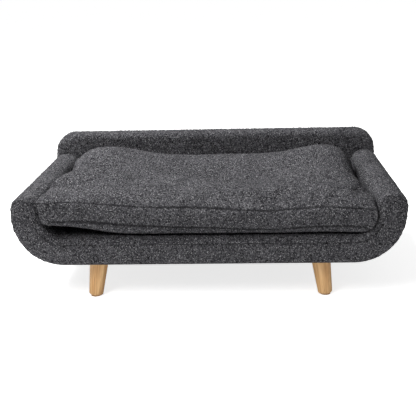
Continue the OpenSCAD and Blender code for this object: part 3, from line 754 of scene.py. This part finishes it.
# the panel's outline clockwise from the top left of its straight middle part
def panelOutline(plan):
    inset, step = plan["inset"], plan["step"]
    halfW = backBox[1][0] - inset
    low, high = backBox[0][2] + inset, backBox[1][2] - inset
    lowR, topR = plan["lowRadius"] - inset, plan["topRadius"] - inset
    flat = halfW - lowR
    spots, outs = [], []

    def straight(start, end, out):
        count = max(1, round(math.dist(start, end) / step))
        for t in np.linspace(0, 1, count + 1)[:-1]:
            spots.append((start[0] + (end[0] - start[0]) * t, start[1] + (end[1] - start[1]) * t))
            outs.append(out)

    def bend(centre, radius, first, last):
        count = max(3, round(radius * math.pi / 2 / step))
        for angle in np.linspace(first, last, count + 1)[:-1]:
            outs.append((math.cos(angle), math.sin(angle)))
            spots.append((centre[0] + radius * outs[-1][0], centre[1] + radius * outs[-1][1]))

    quarter = math.pi / 2
    straight((-flat, high), (flat, high), (0.0, 1.0))
    straight((flat, high), (halfW - topR, high), (0.0, 1.0))
    bend((halfW - topR, high - topR), topR, quarter, 0)
    straight((halfW, high - topR), (halfW, low + lowR), (1.0, 0.0))
    bend((flat, low + lowR), lowR, 0, -quarter)
    straight((flat, low), (-flat, low), (0.0, -1.0))
    bend((-flat, low + lowR), lowR, -quarter, -2 * quarter)
    straight((-halfW, low + lowR), (-halfW, high - topR), (-1.0, 0.0))
    bend((-halfW + topR, high - topR), topR, 2 * quarter, quarter)
    straight((-halfW + topR, high), (-flat, high), (0.0, 1.0))
    return np.array(spots), np.array(outs), flat, (low + high) / 2


def panelPiece(name, plan, frontY, rearY, seam=False):
    spots, outs, flat, middleZ = panelOutline(plan)
    edge = plan["edge"]
    core = np.stack([np.clip(spots[:, 0], -flat, flat), np.full(len(spots), middleZ)], 1)
    # the front edge is nearly square low down, where the panel is pulled against the shell
    front = plan["lowEdge"] + (edge - plan["lowEdge"]) * ease(0.244, 0.262, spots[:, 1])
    rim = spots - outs * front[:, None]
    rings, marks = [], []

    def addRing(flatPoints, y, mark=None):
        rings.append(np.stack([flatPoints[:, 0], np.broadcast_to(y, len(spots)), flatPoints[:, 1]], 1))
        marks.append(np.zeros(len(spots)) if mark is None else mark)

    shares = np.linspace(1, 0, plan["spanRings"] + 1)
    for share in shares[:-1]:
        flatPoints = rim + (core - rim) * share
        above = ease(0.235, 0.26, flatPoints[:, 1])
        addRing(flatPoints, frontY - plan["frontPuff"] * above * (1 - (1 - share) ** 2))
    for angle in np.linspace(math.pi / 2, 0, 8):
        inset = front * (1 - math.cos(angle))
        addRing(spots - outs * inset[:, None], frontY + front * (1 - math.sin(angle)))
    count = max(1, round((rearY - frontY - 2 * edge) / plan["step"]))
    for share in np.linspace(0, 1, count + 1)[1:]:
        addRing(spots, (frontY + front) * (1 - share) + (rearY - edge) * share)
    for angle in np.linspace(0, math.pi / 2, 8)[1:]:
        addRing(spots - outs * edge * (1 - math.cos(angle)), rearY - edge * (1 - math.sin(angle)))
    for extra in (0.0008, 0.0020, 0.0032):
        mark = np.full(len(spots), math.exp(-((edge + extra - plan["seamInset"]) / plan["seamWidth"]) ** 2))
        mark = mark if seam else mark * 0
        addRing(spots - outs * (edge + extra), rearY - plan["seamDepth"] * mark, mark)
    rim = spots - outs * (edge + 0.0032)
    for share in shares[::-1][1:]:
        flatPoints = rim + (core - rim) * share
        addRing(flatPoints, rearY + plan["rearPuff"] * (1 - (1 - share) ** 2))
    piece = skinRings(name, np.stack(rings))
    # the marks give where the rear seam groove is pressed in and where its painted shade goes
    setFloat(piece, "seam", np.concatenate(marks))
    closeUp(piece)
    return piece, spots, outs


def buildBack():
    piece, spots, outs = panelPiece("backCover", backPlan, backBox[0][1], backBox[1][1], seam=True)
    points = getPoints(piece.data)
    # against the shell's rear end and behind the cushion the fabric lies flat
    atFront = ease(backBox[0][1] + 0.004, backBox[0][1] + 0.001, points[:, 1])
    pressed = atFront * ease(0.246, 0.234, points[:, 2])
    setFloat(piece, "pile", 1.0 - 0.97 * pressed)
    growWith(piece, pileTree, pileRelief)
    settle(piece, "frame", "boucle", "back_cover")
    flat = spots - outs * backPlan["seamInset"]
    y = np.full(len(flat), backBox[1][1] - 0.0006)
    line = np.stack([flat[:, 0], y, flat[:, 1]], 1)
    addRun("backRearSeam", [line], dict(seamStitch, seed=8), threadMaterial, "frame")


buildBack()
padPlan = dict(
    backPlan, inset=0.0045, edge=0.006, lowEdge=0.003, step=0.012, frontPuff=0.0, rearPuff=0.0, spanRings=4
)
for node, name in (("back_front_foam", "backFrontPad"), ("back_rear_foam", "backRearPad")):
    low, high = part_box(node)
    rearPart = node == "back_rear_foam"
    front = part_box("back_board")[1][1] + 0.0002 if rearPart else low[1] + 0.001
    rear = high[1] - 0.001 if rearPart else high[1]
    pad = panelPiece(name, padPlan, front, rear)[0]
    settleFoam(pad, "frame", node)
print("back panel built")


# the cushion

cushionLow = np.array(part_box("cushion_bottom_panel")[0])
sideLow, sideHigh = (np.array(corner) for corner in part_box("cushion_side_band"))
cushionPlan = {
    "armGap": 0.0025, "widest": 0.398, "cornerPush": 0.017, "overhang": 0.007,
    "cell": 0.007, "cornerRadius": 0.030, "seamPull": 0.003, "bandBulge": 0.0065,
    "lowEdge": 0.017, "topEdge": 0.072, "topSteep": 0.55, "restHeight": 0.257,
    "upperSeam": 0.2294, "lowerSeam": 0.1874,
    # middle x and y, reach along, reach across, and rise; a crease also has the way it runs in degrees
    "mounds": [
        (-0.28, -0.145, 0.12, 0.052, 0.031), (-0.27, -0.015, 0.11, 0.040, -0.013),
        (-0.08, -0.150, 0.08, 0.045, 0.010), (-0.28, 0.115, 0.11, 0.060, 0.031),
        (0.29, 0.100, 0.11, 0.060, 0.030), (0.28, -0.135, 0.085, 0.050, 0.020),
        (0.04, 0.000, 0.17, 0.078, -0.060), (0.12, -0.150, 0.075, 0.06, -0.010),
    ],
    "creases": [
        (-0.27, 0.015, 0.090, 0.014, -0.038, -31), (-0.165, -0.150, 0.07, 0.013, -0.012, 62),
        (-0.05, -0.170, 0.05, 0.012, -0.009, 75), (0.19, -0.150, 0.06, 0.013, -0.012, 115),
        (0.31, -0.010, 0.075, 0.014, -0.028, 10),
    ],
    "pressure": 2.5, "frames": 20, "cap": 0.007, "shrink": -0.03, "stiffness": 12.0, "bending": 1.2,
    "quality": 5, "mass": 0.35, "airDamping": 4.0, "lowNarrow": 0.972,
}


# how high the two seams run round the cushion: lifted at the front left, sagging under the nest
def seamHeights(x, y):
    front = ease(0.10, -0.15, y)
    leftLift = ease(-0.10, -0.35, x) * front
    sag = np.exp(-((x - 0.13) / 0.115) ** 2) * front
    rightDrop = ease(0.29, 0.375, x) * ease(-0.27, 0.0, y)
    upper = cushionPlan["upperSeam"] + 0.017 * leftLift - 0.011 * sag - 0.024 * rightDrop
    upper = upper - 0.006 * ease(0.24, 0.34, x)
    lower = cushionPlan["lowerSeam"] + 0.016 * ease(-0.05, -0.32, x) * front - 0.009 * sag
    return upper, lower


def cushionTop(x, y):
    height = np.full_like(x, cushionPlan["restHeight"])
    for spot in cushionPlan["mounds"] + cushionPlan["creases"]:
        height = height + mound(x, y, spot)
    return height


# how close to the edge a point of the plan is: 1 on the edge, 0 further in than width
def edgeShare(x, y, halfW, halfD, width, power):
    acrossX = np.clip(1 - (halfW - np.abs(x)) / width, 0, 1)
    acrossY = np.clip(1 - (halfD - np.abs(y)) / width, 0, 1)
    return np.clip((acrossX ** power + acrossY ** power) ** (1 / power), 0, 1)


# a square grid over the cushion's plan with its corners drawn in to a round
def planGrid(columns, rows, halfW, halfD, radius):
    u, v = np.meshgrid(np.linspace(-1, 1, columns + 1), np.linspace(-1, 1, rows + 1), indexing="ij")
    x, y = u * halfW, v * halfD
    a = np.clip((np.abs(x) - (halfW - radius)) / radius, 0, 1)
    b = np.clip((np.abs(y) - (halfD - radius)) / radius, 0, 1)
    corner = (a > 0) & (b > 0)
    roundX = np.sign(x) * (halfW - radius + radius * a * np.sqrt(1 - b * b / 2))
    roundY = np.sign(y) * (halfD - radius + radius * b * np.sqrt(1 - a * a / 2))
    return np.where(corner, roundX, x), np.where(corner, roundY, y)


def keepClear(points, margin=0.0):
    x, y, z = points[:, 0].copy(), points[:, 1].copy(), points[:, 2].copy()
    # the arms' inner faces, which fall away above the start of their round tops
    half = shellPlan["thickness"] / 2
    armMiddle, armTurn = shellBox[1][0] - half, shellBox[1][2] - half
    fall = np.sqrt(np.maximum(half ** 2 - np.clip(z - armTurn, 0, half) ** 2, 0))
    limitX = np.minimum(armMiddle - fall - cushionPlan["armGap"] - margin, cushionPlan["widest"])
    x = np.clip(x, -limitX, limitX)
    y = np.clip(y, sideLow[1] - 0.016 + margin, sideHigh[1] - 0.0004 - margin)
    z = np.maximum(z, cushionLow[2] + 0.0004 + margin)
    # the seat's inside corners
    cornerX = shellBox[1][0] - shellPlan["cornerRadius"]
    cornerZ = shellBox[0][2] + shellPlan["cornerRadius"]
    radius = shellPlan["cornerRadius"] - shellPlan["thickness"] - 0.002 - margin
    alongX, downZ = np.abs(x) - cornerX, cornerZ - z
    reach = np.hypot(alongX, downZ)
    tight = (alongX > 0) & (downZ > 0) & (reach > radius)
    shrink = np.where(tight, radius / np.maximum(reach, 1e-9), 1.0)
    x = np.where(tight, np.sign(x) * (cornerX + alongX * shrink), x)
    z = np.where(tight, cornerZ - downZ * shrink, z)
    return np.stack([x, y, z], 1)


def cushionMesh(name):
    plan = cushionPlan
    halfW, midY = sideHigh[0] - plan["seamPull"], (sideLow[1] + sideHigh[1]) / 2
    halfD = (sideHigh[1] - sideLow[1]) / 2 - plan["seamPull"]
    columns, rows = round(2 * halfW / plan["cell"]), round(2 * halfD / plan["cell"])
    topX, topY = planGrid(columns, rows, halfW, halfD, plan["cornerRadius"])
    share = edgeShare(topX, topY, halfW, halfD, plan["topEdge"], 3.5)
    rise = np.sin((1 - share) * math.pi / 2) ** plan["topSteep"]
    upper, lower = seamHeights(topX, topY + midY)
    topZ = upper * (1 - rise) + cushionTop(topX, topY + midY) * rise
    # the underside: flat where it rests, round up to the lower seam, and lifted at the front left
    lowX = topX * (1 - (1 - plan["lowNarrow"]) * ease(0.2, 0.36, np.abs(topX)))
    floor = cushionLow[2] + 0.001 + 0.027 * ease(-0.17, -0.39, topX) * ease(-0.10, -0.26, topY + midY)
    floor = floor + 0.004 * ease(-0.19, -0.245, topY + midY)
    lowShare = edgeShare(topX, topY, halfW, halfD, plan["lowEdge"], 2.0)
    lowZ = floor + (lower - floor) * (1 - np.sqrt(1 - np.minimum(lowShare, 1) ** 2))
    round1 = [(i, 0) for i in range(columns)] + [(columns, j) for j in range(rows)]
    round2 = [(i, rows) for i in range(columns, 0, -1)] + [(0, j) for j in range(rows, 0, -1)]
    rim = round1 + round2
    topId = np.arange((columns + 1) * (rows + 1)).reshape(columns + 1, rows + 1)
    lowId = topId + topId.size
    points = [np.stack([topX, topY + midY, topZ], -1).reshape(-1, 3)]
    points.append(np.stack([lowX, topY + midY, lowZ], -1).reshape(-1, 3))
    rimI, rimJ = np.array(rim).T
    rimUp, rimLow = points[0][topId[rimI, rimJ]], points[1][topId[rimI, rimJ]]
    along = np.roll(rimUp, -1, 0) - np.roll(rimUp, 1, 0)
    out = np.stack([along[:, 1], -along[:, 0], np.zeros(len(rim))], 1)
    out /= np.maximum(np.linalg.norm(out, axis=1), 1e-9)[:, None]
    levels = [0.08, 0.2, 0.35, 0.5, 0.65, 0.8, 0.92]
    bandIds = [topId[rimI, rimJ]]
    total = 2 * topId.size
    for level in levels:
        bulge = plan["bandBulge"] * math.sin(math.pi * level) ** 0.6
        points.append(rimUp * (1 - level) + rimLow * level + out * bulge)
        bandIds.append(np.arange(total, total + len(rim)))
        total += len(rim)
    bandIds.append(lowId[rimI, rimJ])
    faces = []
    for i in range(columns):
        for j in range(rows):
            faces.append((topId[i, j], topId[i + 1, j], topId[i + 1, j + 1], topId[i, j + 1]))
            faces.append((lowId[i, j], lowId[i, j + 1], lowId[i + 1, j + 1], lowId[i + 1, j]))
    for high, low in zip(bandIds[:-1], bandIds[1:]):
        for i in range(len(rim)):
            j = (i + 1) % len(rim)
            faces.append((high[i], low[i], low[j], high[j]))
    faces = [tuple(int(k) for k in face) for face in faces]
    points = np.concatenate(points)
    # stuffed corners stand out a little in front
    nearX = ease(0.27, 0.38, np.abs(points[:, 0]))
    push = plan["cornerPush"] * nearX * ease(-0.17, -0.265, points[:, 1])
    points[:, 0] += np.sign(points[:, 0]) * push
    points[:, 1] -= 0.7 * push + plan["overhang"] * ease(-0.21, -0.26, points[:, 1])
    obj = newObject(name, keepClear(points), faces)
    return obj, bandIds[0], bandIds[-1], lowId.ravel(), lowShare.ravel()


# fills the cushion with air in a cloth simulation, which also gathers the fabric along the seams
def inflate(obj, held, plan):
    rest = getPoints(obj.data)
    group = obj.vertex_groups.new(name="held")
    for level in np.unique(held):
        if level > 0:
            group.add([int(i) for i in np.flatnonzero(held == level)], float(level), "REPLACE")
    cloth = obj.modifiers.new("cloth", "CLOTH")
    settings = cloth.settings
    settings.quality = plan["quality"]
    settings.mass = plan["mass"]
    settings.air_damping = plan["airDamping"]
    settings.tension_stiffness = plan["stiffness"]
    settings.compression_stiffness = plan["stiffness"]
    settings.shear_stiffness = plan["stiffness"] / 3
    settings.bending_stiffness = plan["bending"]
    settings.use_pressure = True
    settings.uniform_pressure_force = plan["pressure"]
    settings.shrink_min = plan["shrink"]
    settings.vertex_group_mass = "held"
    settings.effector_weights.gravity = 0.0
    cloth.collision_settings.use_collision = False
    cloth.point_cache.frame_start = 1
    cloth.point_cache.frame_end = plan["frames"]
    for step in range(1, plan["frames"] + 1):
        scene.frame_set(step)
    graph = bpy.context.evaluated_depsgraph_get()
    made = obj.evaluated_get(graph).to_mesh()
    moved = getPoints(made) - rest
    obj.evaluated_get(graph).to_mesh_clear()
    obj.modifiers.remove(cloth)
    scene.frame_set(1)
    far = np.linalg.norm(moved, axis=1)
    print("cushion moved at most", round(float(far.max()), 4))
    capped = moved * (np.minimum(far, plan["cap"]) / np.maximum(far, 1e-9))[:, None]
    setPoints(obj.data, keepClear(rest + capped))


def buildCushion():
    obj, upperIds, lowerIds, lowIds, lowShare = cushionMesh("cushionCover")
    held = np.zeros(len(obj.data.vertices))
    held[lowIds] = np.where(lowShare < 0.25, 1.0, 0.0)
    held[upperIds] = 0.8
    held[lowerIds] = 0.8
    inflate(obj, held, cushionPlan)
    points = getPoints(obj.data)
    # the rear of the band lies flat behind the zip
    tapeLow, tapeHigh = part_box("zip_tape")
    nearX = ease(tapeHigh[0] + 0.03, tapeHigh[0] + 0.004, np.abs(points[:, 0]))
    nearZ = ease(0.022, 0.016, np.abs(points[:, 2] - (tapeLow[2] + tapeHigh[2]) / 2))
    onRear = points[:, 1] > sideHigh[1] - 0.02
    flatY = tapeLow[1] - 0.0005
    points[:, 1] = np.where(onRear, points[:, 1] + (flatY - points[:, 1]) * nearX * nearZ, points[:, 1])
    setPoints(obj.data, points)
    # painted shade along the cushion's two seam lines
    marks = np.zeros(len(points))
    marks[upperIds] = 1.0
    marks[lowerIds] = 1.0
    setFloat(obj, "seam", marks)
    pile = np.ones(len(points))
    pile[lowIds] = np.where(lowShare < 0.4, 0.2, 1.0)
    setFloat(obj, "pile", np.where((nearX * nearZ > 0.01) & onRear, 0.1, pile))
    seams = [points[ids] for ids in (upperIds, lowerIds)]
    filling = newObject("cushionFill", points, [tuple(p.vertices) for p in obj.data.polygons])
    soft = obj.modifiers.new("soften", "SUBSURF")
    soft.levels = soft.render_levels = 1
    bake(obj)
    growWith(obj, pileTree, dict(pileRelief, **{"Swell height": 0.0035}))
    setPoints(obj.data, keepClear(getPoints(obj.data)))
    settle(obj, "cushion", "boucle", "cushion_top_panel", "cushion_side_band", "cushion_bottom_panel")
    plan = {"pitch": 0.0055, "length": 0.0038, "thickness": 0.0009, "seed": 11}
    addRun("cushionSeams", seams, plan, threadMaterial, "cushion")
    # the filling follows the cover a few millimetres inside it
    normals = np.zeros(len(points) * 3, np.float32)
    filling.data.vertices.foreach_get("normal", normals)
    setPoints(filling.data, keepClear((points - normals.reshape(-1, 3) * 0.007) * (0.99, 0.99, 1.0), 0.005))
    thin = filling.modifiers.new("thin", "DECIMATE")
    thin.ratio = 0.35
    bake(filling)
    settleFoam(filling, "cushion", "cushion_filling")


buildCushion()
print("cushion built")


# zip on the rear of the cushion

zipPlan = {"pitch": 0.0021, "length": 0.0032, "thickness": 0.00155, "turn": math.pi / 2, "wobble": 0.0}
coilLow, coilHigh = (np.array(corner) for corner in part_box("zip_coils"))
coilMidZ = (coilLow[2] + coilHigh[2]) / 2
coilY = (coilLow[1] + coilHigh[1]) / 2
rows = []
for side in (-1, 1):
    z = coilMidZ + side * (coilHigh[2] - coilLow[2] - 0.0030) / 2
    shift = 0.0005 * side
    rows.append([(coilLow[0] + 0.001 + shift, coilY, z), (coilHigh[0] - 0.001 + shift, coilY, z)])
teeth = addRun("zipTeeth", rows, zipPlan, materials["zip_plastic"], "cushion", closed=False)
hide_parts("zip_coils")
print("zip built")


# legs

legPlan = {
    "footX": 0.274, "footY": 0.187, "middleY": -0.030, "splaySide": 7.5, "splayFront": 5.0,
    "footWidth": 0.033, "topWidth": 0.046, "ease": 0.0045, "sides": 64, "easeSteps": 6, "rings": 14,
}


def buildLeg(node, name, signX, signY):
    plan = legPlan
    leanX = math.tan(math.radians(plan["splaySide"])) * signX
    leanY = math.tan(math.radians(plan["splayFront"])) * signY
    axis = Vector((-leanX, -leanY, 1.0)).normalized()
    foot = Vector((signX * plan["footX"], plan["middleY"] + signY * plan["footY"], 0.0))
    sideways = Vector((1.0, 0.0, 0.0)).cross(axis).normalized()
    other = axis.cross(sideways)
    reach = 1 / axis.z
    floorZ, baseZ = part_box(node)[0].z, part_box(node)[1].z
    bottom, top, soft = floorZ * reach, baseZ * reach, plan["ease"]
    footR, topR = plan["footWidth"] / 2, plan["topWidth"] / 2

    def radiusAt(height):
        return footR + (topR - footR) * height / top

    profile = [(bottom, 0.0), (bottom, footR * 0.5)]
    for angle in np.linspace(0, math.pi / 2, plan["easeSteps"] + 1):
        height = bottom + soft * (1 - math.cos(angle))
        profile.append((height, radiusAt(height) - soft * (1 - math.sin(angle))))
    for height in np.linspace(bottom + soft, top, plan["rings"] + 1)[1:]:
        profile.append((height, radiusAt(height)))
    profile += [(top, topR * 0.5), (top, 0.0)]
    rings, local = [], []
    for height, radius in profile:
        for turn in np.linspace(0, math.tau, plan["sides"], endpoint=False):
            flat = sideways * (radius * math.cos(turn)) + other * (radius * math.sin(turn))
            spot = foot + axis * height + flat
            # the ends are level, cut square to the floor and to the base
            if height in (bottom, top):
                level = floorZ if height == bottom else baseZ
                spot = spot - axis * ((spot.z - level) / axis.z)
            rings.append(spot)
            local.append((radius * math.cos(turn), radius * math.sin(turn), height))
    count = plan["sides"]
    leg = skinRings(name, np.array(rings).reshape(len(profile), count, 3))
    seed = 0.31 * (signX + 2 * signY + 3)
    layer = leg.data.attributes.new("grainPlace", "FLOAT_VECTOR", "POINT")
    layer.data.foreach_set("vector", (np.array(local, np.float32) + np.float32(seed)).ravel())
    closeUp(leg)
    leg.data.materials.append(materials["leg_wood"])
    settle(leg, "frame", "leg_wood", node)


for node, signX, signY in (
    ("leg_front_left", -1, -1), ("leg_front_right", 1, -1),
    ("leg_rear_left", -1, 1), ("leg_rear_right", 1, 1),
):
    title = "".join(word.capitalize() for word in node.split("_")[1:])
    buildLeg(node, "leg" + title, signX, signY)
print("legs built")


# dust cover under the base

dustPlan = {
    "cell": 0.008, "sag": 0.0022, "ripple": 0.0007, "thickness": 0.0006, "legX": 0.262, "legY": 0.179,
}
dustLow, dustHigh = (np.array(corner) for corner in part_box("dust_cover"))
stapleLow, stapleHigh = (np.array(corner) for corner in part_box("dust_cover_staples"))


def buildDustCover():
    wide, deep = dustHigh[0] - dustLow[0], dustHigh[1] - dustLow[1]
    columns, rows = round(wide / dustPlan["cell"]), round(deep / dustPlan["cell"])
    u, v = np.meshgrid(np.linspace(0, 1, columns + 1), np.linspace(0, 1, rows + 1), indexing="ij")
    x, y = dustLow[0] + u * wide, dustLow[1] + v * deep
    bay = np.sin(math.pi * u) * np.sin(math.pi * v)
    # stretched bays hang a little between the legs and the stapled edge
    legs = np.zeros_like(x)
    for signX in (-1, 1):
        for signY in (-1, 1):
            spotX = signX * dustPlan["legX"]
            spotY = legPlan["middleY"] + signY * dustPlan["legY"]
            legs = np.maximum(legs, ease(0.060, 0.034, np.hypot(x - spotX, y - spotY)))
    ripple = np.sin(x * 61 + 2 * np.sin(y * 17)) * np.sin(y * 43 + 1.5 * np.sin(x * 23))
    ripple *= ease(0.0, 0.04, np.minimum(np.minimum(x - dustLow[0], dustHigh[0] - x),
                                         np.minimum(y - dustLow[1], dustHigh[1] - y)))
    drop = (bay ** 0.7 * dustPlan["sag"] + ripple * dustPlan["ripple"]) * (1 - legs)
    z = dustHigh[2] - 0.0003 - np.maximum(drop, 0)
    ids = np.arange(x.size).reshape(x.shape)
    faces = []
    for i in range(columns):
        for j in range(rows):
            faces.append(tuple(int(k) for k in (ids[i, j], ids[i, j + 1], ids[i + 1, j + 1], ids[i + 1, j])))
    sheet = newObject("dustCover", np.stack([x, y, z], -1).reshape(-1, 3), faces)
    thick = sheet.modifiers.new("thick", "SOLIDIFY")
    thick.thickness = dustPlan["thickness"]
    thick.offset = 0.0
    bake(sheet)
    sheet.data.materials.append(materials["dust_cloth"])
    settle(sheet, "frame", "dust_cloth", "dust_cover")


def buildStaples():
    plan = {"pitch": 0.060, "length": 0.0105, "thickness": 0.0012, "wobble": 0.05, "seed": 2}
    left, right = stapleLow[0] + 0.0003, stapleHigh[0] - 0.0003
    front, rear = stapleLow[1] + 0.0003, stapleHigh[1] - 0.0003
    z = stapleHigh[2] + 0.0001
    inset = 0.012
    rows = [
        [(left + inset, front, z), (right - inset, front, z)],
        [(left + inset, rear, z), (right - inset, rear, z)],
        [(left, front + inset, z), (left, rear - inset, z)],
        [(right, front + inset, z), (right, rear - inset, z)],
    ]
    staples = addRun("dustCoverStaples", rows, plan, materials["steel"], "frame", closed=False)
    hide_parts("dust_cover_staples")


buildDustCover()
buildStaples()
print("underside built")


# floor, light and camera

studio = {
    "floorRadius": 40.0, "floorColour": (0.80, 0.80, 0.80, 1), "floorGlow": 0.76, "floorBounce": 0.12,
    "skyLight": 0.30, "topPower": 62.0, "topSize": 1.0, "topPlace": (-0.85, 0.10, 2.0),
    "fillPower": 36.0, "fillSize": 1.0, "fillPlace": (-1.1, -2.0, 2.0),
}
cameraPlan = {"place": (0.091, -2.056, 0.733), "yaw": -2.82, "pitch": 15.76, "roll": -1.47, "lens": 71.4}


def buildFloor():
    sides = 96
    points = [(0.0, 0.0, 0.0)]
    for turn in np.linspace(0, math.tau, sides, endpoint=False):
        points.append((studio["floorRadius"] * math.cos(turn), studio["floorRadius"] * math.sin(turn), 0.0))
    floor = newObject("floor", points, [(0, i + 1, (i + 1) % sides + 1) for i in range(sides)])
    material, tree, shader, where = newMaterial("paleFloor", Roughness=0.9)
    shader.inputs["Specular IOR Level"].default_value = 0.1
    speck = noise(tree, where, 3.0, 2.0)
    faint = calc(tree, "MULTIPLY", speck.outputs[0], 0.02)
    colour = blendColour(tree, faint, studio["floorColour"], (0.8, 0.8, 0.8, 1))
    tree.links.new(colour, shader.inputs["Base Color"])
    shader.inputs["Emission Color"].default_value = (1, 1, 1, 1)
    seen = tree.nodes.new("ShaderNodeLightPath").outputs["Is Camera Ray"]
    glow = remap(tree, seen, 0.0, 1.0, studio["floorBounce"], studio["floorGlow"])
    tree.links.new(glow, shader.inputs["Emission Strength"])
    # seen from below the floor is clear
    mixer = place(tree, "ShaderNodeMixShader", {
        0: tree.nodes.new("ShaderNodeNewGeometry").outputs["Backfacing"], 1: shader.outputs[0],
        2: tree.nodes.new("ShaderNodeBsdfTransparent").outputs[0],
    })
    tree.links.new(mixer.outputs[0], tree.nodes["Material Output"].inputs["Surface"])
    floor.data.materials.append(material)


def buildLights():
    world = bpy.data.worlds.new("studio")
    world.use_nodes = True
    tree = world.node_tree
    seen = tree.nodes.new("ShaderNodeLightPath").outputs["Is Camera Ray"]
    strength = remap(tree, seen, 0.0, 1.0, studio["skyLight"], 1.0)
    sky = tree.nodes["Background"]
    sky.inputs["Color"].default_value = (1, 1, 1, 1)
    tree.links.new(strength, sky.inputs["Strength"])
    scene.world = world
    for name in ("top", "fill"):
        lamp = bpy.data.lights.new(name + "Light", "AREA")
        lamp.energy = studio[name + "Power"]
        lamp.size = studio[name + "Size"]
        light = bpy.data.objects.new(name + "Light", lamp)
        light.location = studio[name + "Place"]
        aim = Vector((0.0, 0.0, 0.15)) - light.location
        light.rotation_euler = aim.to_track_quat("-Z", "Y").to_euler()
        scene.collection.objects.link(light)


def buildCamera():
    yaw, pitch, roll = (math.radians(cameraPlan[key]) for key in ("yaw", "pitch", "roll"))
    ahead = Vector((math.sin(yaw) * math.cos(pitch), math.cos(yaw) * math.cos(pitch), -math.sin(pitch)))
    level = Vector((math.cos(yaw), -math.sin(yaw), 0.0))
    above = level.cross(ahead)
    right = math.cos(roll) * level + math.sin(roll) * above
    up = math.cos(roll) * above - math.sin(roll) * level
    lens = bpy.data.cameras.new("camera")
    lens.lens = cameraPlan["lens"]
    lens.sensor_width = 36.0
    lens.clip_end = 200.0
    camera = bpy.data.objects.new("camera", lens)
    turned = Matrix((right, up, -ahead)).transposed().to_4x4()
    camera.matrix_world = Matrix.Translation(cameraPlan["place"]) @ turned
    scene.collection.objects.link(camera)
    scene.camera = camera


buildFloor()
buildLights()
buildCamera()
scene.view_settings.view_transform = "Standard"
print("studio ready")
